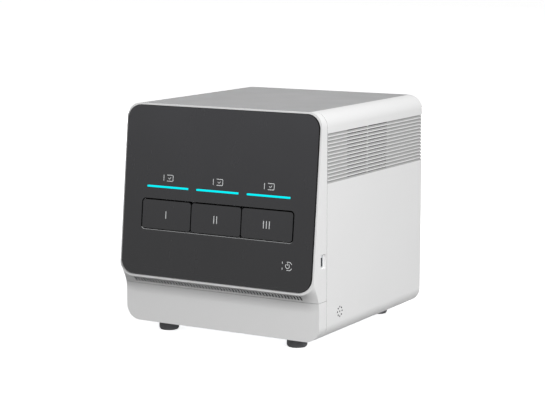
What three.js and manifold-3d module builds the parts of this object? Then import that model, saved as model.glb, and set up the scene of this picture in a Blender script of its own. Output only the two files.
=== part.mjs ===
// A compact bench-top real-time PCR instrument with three sample drawers.
// Millimetres, +Z up, the front faces -Y. While it is built, Y = 0 is the seam between the front
// housing and the casing and Z = 0 is the underside of the body; the last lines stand it on its feet.

import * as THREE from 'three';
import { mergeVertices } from 'three/addons/utils/BufferGeometryUtils.js';
import Module from 'manifold-3d';

const wasm = await Module();
wasm.setup();

// Body
const bodyWidth = 300;
const bodyHeight = 297;
const casingDepth = 281;
const edgeRadius = 20;
const coverWall = 3;
const sheet = 2;
const clearance = 0.3;
const overrun = 2;

// Front housing
const frontWall = 2.5;
const lowerFrontReach = 20.2;
const lipRim = 3.3;
const lipCorner = 21;
const scoopRadius = 30;
const partingHeight = 52.6;
const ledgeDepth = 9.5;
const ledgeThickness = 2.2;
const ledgeSideMargin = 3;

// Tilted front glass
const panelTilt = THREE.MathUtils.degToRad(6.05);
const glassReach = 38.4;
const glassBottomHeight = 67.9;
const glassSideRim = 2.85;
const glassTopRim = 2.083;
const glassCorner = 19.5;
const glassThickness = 4;
const glassProud = 2.5;

// Status lights and the board behind them
const lightEndMargin = 5.8;
const lightHeight = 2.3;
const lightAboveDrawers = 37.238;
const keyBoardEndMargin = 3.1;
const keyBoardBelowLight = 12.2;
const keyBoardAboveLight = 29.8;
const keyBoardThickness = 1.6;

// Intake grille under the lip
const grilleSideMargin = 21.5;
const grillePitch = 4.66;
const grilleSlotWidth = 2.2;
const grilleSlotLength = 9;
const grilleAngle = THREE.MathUtils.degToRad(46);

// Data socket on the right of the front housing
const usbForward = 9.7;
const usbHeight = 105.65;
const usbRecessDepth = 12.8;
const usbRecessHeight = 19;
const usbRecessCorner = 3;
const usbRecessFloor = 2.5;
const usbBossMargin = 1.6;
const usbBossThickness = 6;
const usbShellDepth = 7;
const usbShellHeight = 14.4;
const usbShellLength = 14;
const usbMouthDepth = 4.8;
const usbMouthHeight = 12.4;
const usbMouthReach = 10;
const usbTongueDepth = 1.8;
const usbTongueHeight = 10.6;
const usbTongueSetback = 1;

// Side covers and their louvres
const coverFlange = 11;
const coverFlangeLap = 6;
const coverFlangeThickness = 2.5;
const louvreCount = 14;
const louvrePitch = 4.7;
const louvreTopMargin = 27.4;
const louvreDepth = 2;
const louvreFall = 4.3;
const louvreSlotHeight = 1.8;
const louvreOpenStart = 58.4;
const louvreOpenEnd = 175;
const louvreRibWidth = 2.4;

// Speaker behind the right cover
const speakerBack = 36.4;
const speakerHeight = 32.2;
const speakerHoleRadius = 1.3;
const speakerRing = 6.3;
const speakerRingHoles = 8;
const speakerRadius = 10;
const speakerThickness = 6;

// Top cover, base plate and rear panel
const topCoverSetback = 2;
const baseFrontReach = 11;
const rearInset = 3.5;
const footRadius = 13.7;
const footTipRadius = 12.1;
const footHeight = 14.7;
const footChamfer = 2.4;
const footSideInset = 49.1;
const footFrontInset = 9.6;
const footRearInset = 37;

// Drawers
const drawerCount = 3;
const drawerSideMargin = 33.9;
const drawerFrontHeight = 38.6;
const drawerFrontThickness = 6;
const drawerCorner = 4;
const drawerGap = 1.2;
const drawerCentreHeight = 150.4;
const drawerTravel = 75;

// Drawer trays
const trayInset = 3.6;
const trayWall = 1.5;
const trayBelowCentre = 16.4;
const trayAboveCentre = 10.1;
const trayFrontRoom = 26;
const trayRearRoom = 28;
const trayLedge = 7.2;
const trayFlangeReach = 3.1;
const trayFlangeDrop = 4.4;
const armRise = 10.5;
const rackWidth = 4.5;
const rackBack = 3.5;

// Sample blocks, thermoelectric plates and heat sinks
const blockSetback = 35.656;
const blockSize = 42.8;
const blockHeight = 12;
const wellPitch = 9;
const wellRows = 4;
const wellTopRadius = 2.7;
const wellBottomRadius = 1.5;
const wellDepth = 10.5;
const plateSize = 40;
const plateCore = 37;
const plateSkin = 0.8;
const plateHeight = 3.2;
const sinkSideRoom = 3.2;
const sinkLength = 46;
const sinkHeight = 9.5;
const sinkBase = 3.5;
const sinkFins = 9;
const finThickness = 1.5;

// Drawer drive
const gearModule = 1.5;
const pinionTeeth = 12;
const pressureAngle = THREE.MathUtils.degToRad(20);
const pinionAddendum = 1.3;
const rackAddendum = 1;
const gearDedendum = 1.5;
const backlash = 0.4;
const rackDrop = 10.4;
const motorRadius = 11;
const motorLength = 28;
const motorFaceGap = 0.5;
const motorTrayGap = 1;
const motorSaddleWidth = 14;
const shaftRadius = 2;
const shaftReach = 8;
const armSpare = 5;

// Guide walls, deck and bridge
const guideThickness = 1.5;
const guideFrontReach = 10;
const guideRearSpare = 4;
const ribReach = 2.8;
const ribHeight = 2.2;
const deckDrop = 2.7;
const bridgeFrontReach = 21.5;
const bridgeRearReach = 50;

// Heated lids with their motors, and the optics above them
const capRoom = 11.3;
const lidInset = 4.7;
const lidFrontReach = 22;
const lidRearReach = 44;
const lidThickness = 8;
const lidHeadroom = 6.2;
const lidHoleRadius = 2;
const lidPinRadius = 2;
const lidPinInset = 6;
const lidPinFrontReach = 17;
const lidScrewReach = 36;
const lidPinRise = 8;
const lidScrewRadius = 3;
const lidScrewRise = 27;
const runningGap = 0.4;
const lidMotorSize = 28;
const lidMotorHeight = 20;
const opticsHalfDepth = 14;
const opticsEndReach = 27.2;
const opticsHeight = 34;
const snoutWidth = 28;
const snoutDepth = 24;
const snoutDrop = 3;

// Power supply and main board
const supplySideRoom = 38;
const supplyWidth = 70;
const supplyLength = 175;
const supplyInletGap = 14.5;
const supplyHeight = 46;
const terminalDepth = 12;
const terminalHeight = 14;
const boardSupplyGap = 12;
const boardSideRoom = 37;
const boardLength = 188;
const boardRearGap = 9.5;
const boardThickness = 1.6;
const boardRise = 6;
const standoffRadius = 3;
const standoffInset = 8;
const chipSize = 32;
const chipHeight = 9;
const connectorLength = 26;
const connectorWidth = 7;
const connectorHeight = 8;

// Rear fan
const fanSize = 120;
const fanDepth = 25;
const fanCorner = 6;
const fanBore = 58;
const fanTopRoom = 107;
const fanHub = 19;
const fanHubLength = 18.6;
const statorThickness = 4;
const statorArm = 5;
const fanBlades = 7;
const fanTipGap = 2;
const bladeThickness = 1.6;
const bladeChord = 15;
const bladePitch = THREE.MathUtils.degToRad(38);
const fanShaftRadius = 3;
const fanShaftLength = 3;
const ventSlotHeight = 3.4;
const ventSlotPitch = 7.2;
const ventMargin = 6;

// Power inlet with its switch, and the network socket
const inletSideRoom = 55;
const inletHeight = 54;
const inletWidth = 27;
const inletTall = 47;
const inletLength = 28;
const inletFlange = 2;
const inletLip = 2.2;
const inletMouthWidth = 22;
const inletMouthTall = 16;
const inletMouthCorner = 4;
const inletMouthDepth = 15;
const inletMouthDrop = 11;
const inletPinWidth = 2;
const inletPinTall = 4;
const inletPinLength = 9;
const inletPinSpread = 7;
const inletPinOffset = 2;
const rockerPocketWidth = 14;
const rockerPocketTall = 20;
const rockerPocketDepth = 9;
const rockerRaise = 12;
const rockerGap = 0.45;
const rockerHalfThickness = 3;
const rockerShoulder = 1.8;
const rockerProud = 1;
const rockerTilt = THREE.MathUtils.degToRad(8);
const lanSideRoom = 90;
const lanWidth = 16;
const lanTall = 13.5;
const lanLength = 18;
const lanMouthWidth = 11.8;
const lanMouthTall = 8.4;
const lanMouthDepth = 12;
const lanMouthRaise = 1;

// Fineness of the round shapes
const cornerSegments = 4;
const fineSegments = 2;
const scoopSegments = 6;
const sweepSegments = 32;
const rodSides = 8;
const footSides = 24;
const wellSides = 8;
const holeSides = 6;
const boreSides = 32;

// Places worked out from the sizes above
const halfWidth = bodyWidth / 2;
const filletStart = halfWidth - edgeRadius;
const topUnderside = bodyHeight - sheet;
const glassWidth = bodyWidth - 2 * glassSideRim;
const glassLength = (bodyHeight - glassBottomHeight) / Math.cos(panelTilt) - glassTopRim;
const glassSeat = glassThickness - glassProud + clearance;
const innerFace = glassProud + glassSeat + frontWall;
const panelMatrix = new THREE.Matrix4().makeTranslation(0, -glassReach, glassBottomHeight);
panelMatrix.multiply(new THREE.Matrix4().makeRotationX(-panelTilt));
const panelInverse = panelMatrix.clone().invert();
const drawerGroupWidth = bodyWidth - 2 * drawerSideMargin;
const drawerFrontWidth = (drawerGroupWidth - (drawerCount - 1) * drawerGap) / drawerCount;
const drawerPitch = drawerFrontWidth + drawerGap;
const drawerCentreRise = (drawerCentreHeight - glassBottomHeight) / Math.cos(panelTilt);
const lightLength = drawerFrontWidth - 2 * lightEndMargin;
const lightRise = drawerCentreRise + lightAboveDrawers;
const trayWidth = drawerFrontWidth - 2 * trayInset;
const sinkWidth = trayWidth - 2 * trayWall - 2 * sinkSideRoom;
const lidWidth = trayWidth - 2 * lidInset;
const lidPinSide = lidWidth / 2 - lidPinInset;
const trayHalf = trayWidth / 2;
const drawerFaceBack = (drawerCentreHeight - glassBottomHeight) * Math.tan(panelTilt) - glassReach;
const blockCentreBack = drawerFaceBack + blockSetback;
const trayBottom = drawerCentreHeight - trayBelowCentre;
const trayTop = drawerCentreHeight + trayAboveCentre;
const trayRear = blockCentreBack + trayRearRoom;
const sinkBottom = trayBottom + trayWall + clearance;
const plateBottom = sinkBottom + sinkHeight + clearance;
const blockBottom = plateBottom + plateHeight + clearance;
const pinionRadius = gearModule * pinionTeeth / 2;
const rackLine = drawerCentreHeight - rackDrop;
const rackRoot = rackLine + gearDedendum;
const pinionHeight = rackLine - pinionRadius;
const pinionBack = trayRear + motorRadius + motorTrayGap;
const armEnd = pinionBack + drawerTravel + armSpare;
const armTop = rackRoot + armRise;
const flangeBottom = drawerCentreHeight - trayFlangeDrop;
const deckTop = pinionHeight - pinionRadius - pinionAddendum - deckDrop;
const guideRear = armEnd + guideRearSpare;
const lidBottom = trayTop + capRoom;
const lidTop = lidBottom + lidThickness;
const lidScrewBack = blockCentreBack + lidScrewReach;
const bridgeBottom = lidTop + lidHeadroom;
const bridgeTop = bridgeBottom + sheet;
const rearPanelBack = casingDepth - rearInset;
const rearPanelFront = rearPanelBack - sheet;
const supplyRearBack = rearPanelBack - inletLength - supplyInletGap;
const supplyFrontBack = supplyRearBack - supplyLength;
const boardRearBack = rearPanelBack - boardRearGap;
const boardFrontBack = boardRearBack - boardLength;
const grilleSlots = Math.floor((bodyWidth - 2 * grilleSideMargin) / grillePitch) + 1;
const louvreTop = bodyHeight - louvreTopMargin;
const footSpacing = bodyWidth - 2 * footSideInset;
const fanHeight = bodyHeight - fanTopRoom;
const inletSide = inletSideRoom - halfWidth;
const lanSide = halfWidth - lanSideRoom;
const supplyLeft = supplySideRoom - halfWidth;
const boardLeft = supplyLeft + supplyWidth + boardSupplyGap;
const boardRight = halfWidth - boardSideRoom;
const boardBottom = sheet + boardRise;
const boardTop = boardBottom + boardThickness;

const quarterTurn = Math.PI / 2;

// Solid helpers
function meshData(geometry) {
  const bare = geometry.clone();
  bare.deleteAttribute('normal');
  bare.deleteAttribute('uv');
  const merged = mergeVertices(bare);
  const points = Float32Array.from(merged.attributes.position.array);
  const corners = Array.from(merged.index.array);
  const triangles = [];
  for (let i = 0; i < corners.length; i += 3) {
    const [a, b, c] = corners.slice(i, i + 3);
    if (a !== b && b !== c && c !== a) triangles.push([a, b, c]);
  }
  return { points, triangles };
}

function signedVolume({ points, triangles }) {
  const at = (i) => new THREE.Vector3().fromArray(points, 3 * i);
  return triangles.reduce((sum, [a, b, c]) => sum + at(a).dot(at(b).cross(at(c))), 0);
}

function solidOf(geometry, matrix) {
  const placed = geometry.clone();
  if (matrix) placed.applyMatrix4(matrix);
  const data = meshData(placed);
  const outward = signedVolume(data) > 0;
  const ordered = data.triangles.map(([a, b, c]) => (outward ? [a, b, c] : [a, c, b]));
  const mesh = new wasm.Mesh({
    numProp: 3,
    vertProperties: data.points,
    triVerts: Uint32Array.from(ordered.flat()),
  });
  return new wasm.Manifold(mesh);
}

function geometryOf(solid) {
  const mesh = solid.getMesh();
  const geometry = new THREE.BufferGeometry();
  geometry.setAttribute('position', new THREE.BufferAttribute(mesh.vertProperties, 3));
  geometry.setIndex(new THREE.BufferAttribute(mesh.triVerts, 1));
  return geometry;
}

function joined(solids) {
  return solids.reduce((whole, solid) => whole.add(solid));
}

function cut(body, cutters) {
  return cutters.reduce((left, cutter) => left.subtract(cutter), body);
}

// A block between two corners, [x, y, z] each
function block(low, high, matrix) {
  const [dx, dy, dz] = high.map((value, i) => value - low[i]);
  const [x, y, z] = high.map((value, i) => (value + low[i]) / 2);
  return solidOf(new THREE.BoxGeometry(dx, dy, dz).translate(x, y, z), matrix);
}

function extrude(shape, length, segments) {
  return new THREE.ExtrudeGeometry(shape, { depth: length, bevelEnabled: false, curveSegments: segments });
}

// A shape drawn in X and Z, run from one Y to another
function alongY(shape, start, end, segments = cornerSegments, matrix = undefined) {
  const geometry = extrude(shape, end - start, segments).rotateX(quarterTurn).translate(0, end, 0);
  return solidOf(geometry, matrix);
}

// A shape drawn in Y and Z, run from one X to another
function alongX(shape, start, end, segments = cornerSegments) {
  const turn = new THREE.Matrix4().makeBasis(
    new THREE.Vector3(0, 1, 0),
    new THREE.Vector3(0, 0, 1),
    new THREE.Vector3(1, 0, 0),
  );
  return solidOf(extrude(shape, end - start, segments).applyMatrix4(turn).translate(start, 0, 0));
}

function outlineOf(points) {
  return new THREE.Shape(points.map(([x, y]) => new THREE.Vector2(x, y)));
}

function roundedRectangle(width, height, radius, centreX = 0, centreY = 0) {
  const right = centreX + width / 2 - radius;
  const left = centreX - width / 2 + radius;
  const top = centreY + height / 2 - radius;
  const bottom = centreY - height / 2 + radius;
  const shape = new THREE.Shape();
  shape.absarc(right, bottom, radius, -quarterTurn, 0);
  shape.absarc(right, top, radius, 0, quarterTurn);
  shape.absarc(left, top, radius, quarterTurn, 2 * quarterTurn);
  shape.absarc(left, bottom, radius, 2 * quarterTurn, 3 * quarterTurn);
  return shape;
}

// A round rod along one axis, from a low end to a high end, at the other two coordinates
function rod(axis, radius, start, end, across, sides = rodSides) {
  const geometry = new THREE.CylinderGeometry(radius, radius, end - start, sides);
  geometry.translate(0, (start + end) / 2, 0);
  if (axis === 'x') geometry.rotateZ(-quarterTurn).translate(0, across[0], across[1]);
  if (axis === 'y') geometry.translate(across[0], 0, across[1]);
  if (axis === 'z') geometry.rotateX(quarterTurn).translate(across[0], across[1], 0);
  return solidOf(geometry);
}

function grid(count, pitch) {
  return Array.from({ length: count }, (_, i) => (i - (count - 1) / 2) * pitch);
}

const sides = [-1, 1];

// Materials
function finish(color, roughness, metalness = 0) {
  return () => new THREE.MeshStandardMaterial({ color, roughness, metalness, flatShading: true });
}

const whiteShell = finish(0xe2e2e2, 0.45);
const greyCover = finish(0xa8a8a8, 0.5);
const blackGlass = finish(0x3c3c3c, 0.25);
const cyanLight = finish(0x00ffff, 0.4);
const darkRubber = finish(0x4a4a4a, 0.8);
const sheetSteel = finish(0xb4b7ba, 0.4, 0.9);
const aluminium = finish(0xc9ccd0, 0.35, 0.9);
const blackPlastic = finish(0x26282a, 0.55);
const circuitBoard = finish(0x1d5a3a, 0.5);
const ceramic = finish(0xf2efe8, 0.6);
const brass = finish(0xb89b5e, 0.35, 0.9);

const machine = new THREE.Group();

function addPiece(parent, name, solid, material, position = [0, 0, 0]) {
  const mesh = new THREE.Mesh(geometryOf(solid), material());
  mesh.name = name;
  mesh.position.set(...position);
  parent.add(mesh);
  return mesh;
}

// Front housing: a shell that leans back, with a concave scoop under its lip
function panelPoint(depth, rise) {
  return new THREE.Vector3(0, depth, rise).applyMatrix4(panelMatrix);
}

const lip = panelPoint(glassProud, -lipRim);
const scoopCentreY = -lowerFrontReach - scoopRadius;
const scoopCentreZ = lip.z - Math.sqrt(scoopRadius ** 2 - (lip.y - scoopCentreY) ** 2);

function scoopArc(grow) {
  const radius = scoopRadius + grow;
  const top = Math.asin((lip.z + grow - scoopCentreZ) / radius);
  return Array.from({ length: scoopSegments + 1 }, (_, i) => {
    const angle = top * (1 - i / scoopSegments);
    return [scoopCentreY + radius * Math.cos(angle), scoopCentreZ + radius * Math.sin(angle)];
  });
}

// Everything in front of the scoop and the lower front face, moved back by the wall for the inside
function scoopCutter(grow) {
  const far = bodyHeight;
  const arc = scoopArc(grow);
  const lowerFace = -lowerFrontReach + grow;
  const cornerX = halfWidth - lipCorner;
  const cornerZ = lip.z + lipCorner;
  const run = outlineOf([[-far, arc[0][1]], ...arc, [lowerFace, -far], [-far, -far]]);
  const straight = alongX(run, -cornerX, cornerX);
  const swept = arc.map(([y, z]) => [cornerZ - z, y]);
  const ring = [[swept[0][0], -far], ...swept, [far, lowerFace], [far, -far], [swept[0][0], -far]];
  const lathe = new THREE.LatheGeometry(ring.map(([r, y]) => new THREE.Vector2(r, y)), sweepSegments);
  const corners = sides.map((side) => {
    const turned = solidOf(lathe.clone().translate(side * cornerX, 0, cornerZ));
    const low = [side < 0 ? -far : cornerX, -far - overrun, -far];
    const high = [side < 0 ? -cornerX : far, far, cornerZ];
    return turned.intersect(block(low, high));
  });
  return joined([straight, ...corners]);
}

function frontForm(inset, faceDepth, rearEdge) {
  const outline = roundedRectangle(
    bodyWidth - 2 * inset,
    bodyHeight - 2 * inset,
    edgeRadius - inset,
    0,
    bodyHeight / 2,
  );
  const prism = alongY(outline, -bodyWidth, rearEdge);
  const far = 2 * bodyHeight;
  const ahead = block([-far, -far, -far], [far, faceDepth, far], panelMatrix);
  return cut(prism, [ahead, scoopCutter(inset)]);
}

function frontShell() {
  const outer = frontForm(0, glassProud, -clearance / 2);
  return outer.subtract(frontForm(frontWall, innerFace, overrun));
}

function drawerAperture(matrix) {
  const width = drawerGroupWidth + 2 * drawerGap;
  const height = drawerFrontHeight + 2 * drawerGap;
  const outline = roundedRectangle(width, height, drawerCorner + drawerGap, 0, drawerCentreHeight);
  return alongY(outline, -glassReach - overrun, 0, fineSegments, matrix);
}

function lightSlots(depthStart, depthEnd, matrix) {
  return grid(drawerCount, drawerPitch).map((x) => block(
    [x - lightLength / 2 - clearance, depthStart, lightRise - lightHeight / 2 - clearance],
    [x + lightLength / 2 + clearance, depthEnd, lightRise + lightHeight / 2 + clearance],
    matrix,
  ));
}

function grilleCutters() {
  const y = scoopCentreY + scoopRadius * Math.cos(grilleAngle);
  const z = scoopCentreZ + scoopRadius * Math.sin(grilleAngle);
  const depth = frontWall + overrun;
  return grid(grilleSlots, grillePitch).map((x) => {
    const slot = new THREE.BoxGeometry(grilleSlotWidth, 2 * depth, grilleSlotLength);
    return solidOf(slot.rotateX(grilleAngle).translate(x, y, z));
  });
}

function usbPocket() {
  const outline = roundedRectangle(usbRecessDepth, usbRecessHeight, usbRecessCorner, -usbForward, usbHeight);
  const floor = halfWidth - usbRecessFloor;
  const shell = block(
    [floor - usbBossThickness - overrun, -usbForward - usbShellDepth / 2 - clearance,
      usbHeight - usbShellHeight / 2 - clearance],
    [halfWidth, -usbForward + usbShellDepth / 2 + clearance, usbHeight + usbShellHeight / 2 + clearance],
  );
  return joined([alongX(outline, floor, halfWidth + overrun, fineSegments), shell]);
}

function usbBoss() {
  const halfDepth = usbRecessDepth / 2 + usbBossMargin;
  const halfTall = usbRecessHeight / 2 + usbBossMargin;
  return block(
    [halfWidth - usbRecessFloor - usbBossThickness, -usbForward - halfDepth, usbHeight - halfTall],
    [halfWidth - frontWall / 2, -usbForward + halfDepth, usbHeight + halfTall],
  );
}

function topCoverFront() {
  const rise = (bodyHeight - glassBottomHeight) / Math.cos(panelTilt);
  return panelPoint(glassProud, rise).y + topCoverSetback;
}

function frontBezel() {
  const ledgeHalf = filletStart + ledgeSideMargin;
  const ledge = block(
    [-ledgeHalf, -ledgeDepth, topUnderside - clearance - ledgeThickness],
    [ledgeHalf, -clearance / 2, topUnderside - clearance],
  );
  const body = joined([frontShell(), ledge, usbBoss()]);
  const glassOutline = roundedRectangle(
    glassWidth + 2 * clearance,
    glassLength + 2 * clearance,
    glassCorner + clearance,
    0,
    glassLength / 2,
  );
  const seat = alongY(glassOutline, -overrun, glassProud + glassSeat, cornerSegments, panelMatrix);
  const coverPocket = block(
    [-filletStart - clearance / 2, topCoverFront() - clearance, topUnderside - clearance],
    [filletStart + clearance / 2, overrun, bodyHeight + overrun],
  );
  const below = block(
    [-bodyWidth, -bodyWidth, -overrun],
    [bodyWidth, overrun, partingHeight + clearance],
  );
  const bars = lightSlots(-overrun, innerFace + overrun, panelMatrix);
  const cuts = [seat, coverPocket, below, drawerAperture(), usbPocket(), ...bars, ...grilleCutters()];
  return cut(body, cuts);
}

function frontSkirt() {
  const above = block(
    [-bodyWidth, -bodyWidth, partingHeight],
    [bodyWidth, overrun, bodyHeight + overrun],
  );
  const plateNotch = block(
    [-filletStart - clearance / 2, -baseFrontReach - clearance, -overrun],
    [filletStart + clearance / 2, overrun, frontWall + overrun],
  );
  return cut(frontShell(), [above, plateNotch]);
}

addPiece(machine, 'front_bezel', frontBezel(), whiteShell);
addPiece(machine, 'front_skirt', frontSkirt(), whiteShell);

// Front glass, its lights and the key board lean with the panel
const panel = new THREE.Group();
panel.applyMatrix4(panelMatrix);
machine.add(panel);

function frontGlass() {
  const outline = roundedRectangle(glassWidth, glassLength, glassCorner, 0, glassLength / 2);
  const plate = alongY(outline, 0, glassThickness);
  return cut(plate, [drawerAperture(panelInverse), ...lightSlots(-overrun, glassThickness + overrun)]);
}

function lightBar() {
  return block(
    [-lightLength / 2, 0, -lightHeight / 2],
    [lightLength / 2, innerFace, lightHeight / 2],
  );
}

function keyBoard() {
  const half = drawerGroupWidth / 2 - keyBoardEndMargin;
  const near = innerFace + clearance;
  return block(
    [-half, near, lightRise - keyBoardBelowLight],
    [half, near + keyBoardThickness, lightRise + keyBoardAboveLight],
  );
}

addPiece(panel, 'front_glass', frontGlass(), blackGlass);
grid(drawerCount, drawerPitch).forEach((x, i) => {
  addPiece(panel, `light_bar_${i + 1}`, lightBar(), cyanLight, [x, 0, lightRise]);
});
addPiece(panel, 'key_board', keyBoard(), circuitBoard);

// Data socket and speaker in the right side
function usbPort() {
  const shell = block(
    [-usbShellLength, -usbShellDepth / 2, -usbShellHeight / 2],
    [0, usbShellDepth / 2, usbShellHeight / 2],
  );
  const mouth = block(
    [-usbMouthReach, -usbMouthDepth / 2, -usbMouthHeight / 2],
    [overrun, usbMouthDepth / 2, usbMouthHeight / 2],
  );
  const tongue = block(
    [-usbMouthReach - overrun, -usbTongueDepth / 2, -usbTongueHeight / 2],
    [-usbTongueSetback, usbTongueDepth / 2, usbTongueHeight / 2],
  );
  return shell.subtract(mouth).add(tongue);
}

addPiece(machine, 'usb_port', usbPort(), sheetSteel, [halfWidth - usbRecessFloor, -usbForward, usbHeight]);

const speakerFace = halfWidth - coverWall - clearance;
addPiece(
  machine,
  'speaker',
  rod('x', speakerRadius, -speakerThickness, 0, [0, 0], 2 * rodSides),
  blackPlastic,
  [speakerFace, speakerBack, speakerHeight],
);

// Side covers, drawn for the right side and mirrored for the left
function coverSection() {
  const outer = roundedRectangle(bodyWidth, bodyHeight, edgeRadius, 0, bodyHeight / 2);
  const inner = roundedRectangle(
    bodyWidth - 2 * coverWall,
    bodyHeight - 2 * coverWall,
    edgeRadius - coverWall,
    0,
    bodyHeight / 2,
  );
  const front = clearance / 2;
  const tube = alongY(outer, front, casingDepth).subtract(alongY(inner, -overrun, casingDepth + overrun));
  const middle = block(
    [-bodyWidth, -overrun, -overrun],
    [filletStart + clearance / 2, casingDepth + overrun, bodyHeight + overrun],
  );
  const flanges = [sheet + clearance, topUnderside - clearance - coverFlangeThickness].map((z) => block(
    [filletStart - coverFlange, front, z],
    [filletStart + coverFlangeLap, rearPanelFront - clearance, z + coverFlangeThickness],
  ));
  return joined([tube.subtract(middle), ...flanges]);
}

function louvreCutters() {
  const cutters = [];
  const middle = (louvreOpenStart + louvreOpenEnd) / 2;
  const windows = [
    [louvreOpenStart, middle - louvreRibWidth / 2],
    [middle + louvreRibWidth / 2, louvreOpenEnd],
  ];
  for (let i = 0; i < louvreCount; i += 1) {
    const top = louvreTop - i * louvrePitch;
    const slope = louvreFall / louvreDepth;
    const tooth = outlineOf([
      [halfWidth - louvreDepth, top],
      [halfWidth + overrun, top],
      [halfWidth + overrun, top - louvreFall - overrun * slope],
    ]);
    cutters.push(alongY(tooth, -overrun, casingDepth + overrun));
    windows.forEach(([start, end]) => cutters.push(block(
      [halfWidth - coverWall - overrun, start, top - louvreSlotHeight],
      [halfWidth - louvreDepth / 2, end, top],
    )));
  }
  return cutters;
}

function speakerHoles() {
  const places = [[0, 0]];
  for (let i = 0; i < speakerRingHoles; i += 1) {
    const angle = 2 * Math.PI * i / speakerRingHoles;
    places.push([speakerRing * Math.cos(angle), speakerRing * Math.sin(angle)]);
  }
  return places.map(([y, z]) => rod(
    'x',
    speakerHoleRadius,
    halfWidth - coverWall - overrun,
    halfWidth + overrun,
    [speakerBack + y, speakerHeight + z],
    holeSides,
  ));
}

const cover = cut(coverSection(), louvreCutters());
addPiece(machine, 'side_cover_right', cut(cover, speakerHoles()), whiteShell);
addPiece(machine, 'side_cover_left', cover.mirror([1, 0, 0]), whiteShell);

// Top cover, base plate and feet
const coverHalf = filletStart - clearance / 2;
addPiece(
  machine,
  'top_cover',
  block([-coverHalf, topCoverFront(), topUnderside], [coverHalf, casingDepth, bodyHeight]),
  greyCover,
);
addPiece(
  machine,
  'base_plate',
  block([-coverHalf, -baseFrontReach, 0], [coverHalf, casingDepth, sheet]),
  sheetSteel,
);

function foot() {
  const profile = [
    [0, 0],
    [footTipRadius, 0],
    [footRadius, footChamfer],
    [footRadius, footHeight - clearance],
    [0, footHeight - clearance],
  ].map(([r, z]) => new THREE.Vector2(r, z));
  return solidOf(new THREE.LatheGeometry(profile, footSides).rotateX(quarterTurn));
}

[['front', footFrontInset], ['rear', casingDepth - footRearInset]].forEach(([end, back]) => {
  [['left', -1], ['right', 1]].forEach(([hand, side]) => {
    const place = [side * footSpacing / 2, back, -footHeight];
    addPiece(machine, `foot_${end}_${hand}`, foot(), darkRubber, place);
  });
});

// Deck and guide walls that carry the drawers
const moduleOuter = drawerPitch * drawerCount / 2;

function guideRibs(wallX, hand) {
  const face = wallX + hand * guideThickness / 2;
  const reach = face + hand * ribReach;
  const flangeTop = flangeBottom + trayWall;
  return [flangeBottom - clearance - ribHeight, flangeTop + clearance].map((z) => block(
    [Math.min(face, reach) - clearance / 2, -guideFrontReach, z],
    [Math.max(face, reach) + clearance / 2, guideRear, z + ribHeight],
  ));
}

function guideWall(x, index) {
  const outer = index === 0 || index === drawerCount;
  const bottom = outer ? sheet + clearance : deckTop + clearance;
  const plate = block(
    [x - guideThickness / 2, -guideFrontReach, bottom],
    [x + guideThickness / 2, guideRear, bridgeBottom - clearance],
  );
  const hands = [];
  if (index > 0) hands.push(-1);
  if (index < drawerCount) hands.push(1);
  return joined([plate, ...hands.flatMap((hand) => guideRibs(x, hand))]);
}

grid(drawerCount + 1, drawerPitch).forEach((x, i) => {
  addPiece(machine, `guide_wall_${i + 1}`, guideWall(x, i), sheetSteel);
});

const deckHalf = moduleOuter - guideThickness / 2 - clearance;
addPiece(
  machine,
  'chassis_deck',
  block([-deckHalf, -guideFrontReach, deckTop - sheet], [deckHalf, guideRear, deckTop]),
  sheetSteel,
);

function lidPinPlaces() {
  const front = blockCentreBack - lidPinFrontReach;
  return sides.flatMap((side) => [front, lidScrewBack].map((y) => [side * lidPinSide, y]));
}

function moduleBridge() {
  const half = moduleOuter + guideThickness / 2;
  const plate = block(
    [-half, blockCentreBack - bridgeFrontReach, bridgeBottom],
    [half, blockCentreBack + bridgeRearReach, bridgeTop],
  );
  const low = bridgeBottom - overrun;
  const high = bridgeTop + overrun;
  const cutters = grid(drawerCount, drawerPitch).flatMap((x) => [
    block(
      [x - snoutWidth / 2 - clearance, blockCentreBack - snoutDepth / 2 - clearance, low],
      [x + snoutWidth / 2 + clearance, blockCentreBack + snoutDepth / 2 + clearance, high],
    ),
    rod('z', lidScrewRadius + runningGap, low, high, [x, lidScrewBack]),
    ...lidPinPlaces().map(([px, py]) => rod('z', lidPinRadius + runningGap, low, high, [x + px, py])),
  ]);
  return cut(plate, cutters);
}

addPiece(machine, 'module_bridge', moduleBridge(), sheetSteel);

// Drawer front: a leaning plate whose edges run level, so that it slides out clear of the glass
function drawerFront() {
  const outline = roundedRectangle(drawerFrontWidth, drawerFrontHeight, drawerCorner, 0, drawerCentreHeight);
  const prism = alongY(outline, -glassReach - overrun, 0, fineSegments);
  const slab = block(
    [-bodyWidth, 0, -bodyHeight],
    [bodyWidth, drawerFrontThickness, bodyHeight],
    panelMatrix,
  );
  return prism.intersect(slab);
}

// Rack teeth point down, with a gap above the pinion's top tooth at rest
function rackBar() {
  const pitch = Math.PI * gearModule;
  const halfAtLine = pitch / 4 - backlash / 4;
  const lean = Math.tan(pressureAngle);
  const halfTip = halfAtLine - rackAddendum * lean;
  const halfFoot = halfAtLine + gearDedendum * lean;
  const teeth = Math.floor((armEnd - pinionBack) / pitch) + 1;
  const start = pinionBack - pitch * 2;
  const points = [[start, rackRoot + rackBack], [start, rackRoot]];
  for (let i = -1; i < teeth - 1; i += 1) {
    const middle = pinionBack + (i + 1 / 2) * pitch;
    points.push([middle - halfFoot, rackRoot], [middle - halfTip, rackLine - rackAddendum]);
    points.push([middle + halfTip, rackLine - rackAddendum], [middle + halfFoot, rackRoot]);
  }
  points.push([armEnd, rackRoot], [armEnd, rackRoot + rackBack]);
  return alongX(outlineOf(points), trayHalf - trayWall - rackWidth, trayHalf - trayWall / 2);
}

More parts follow.
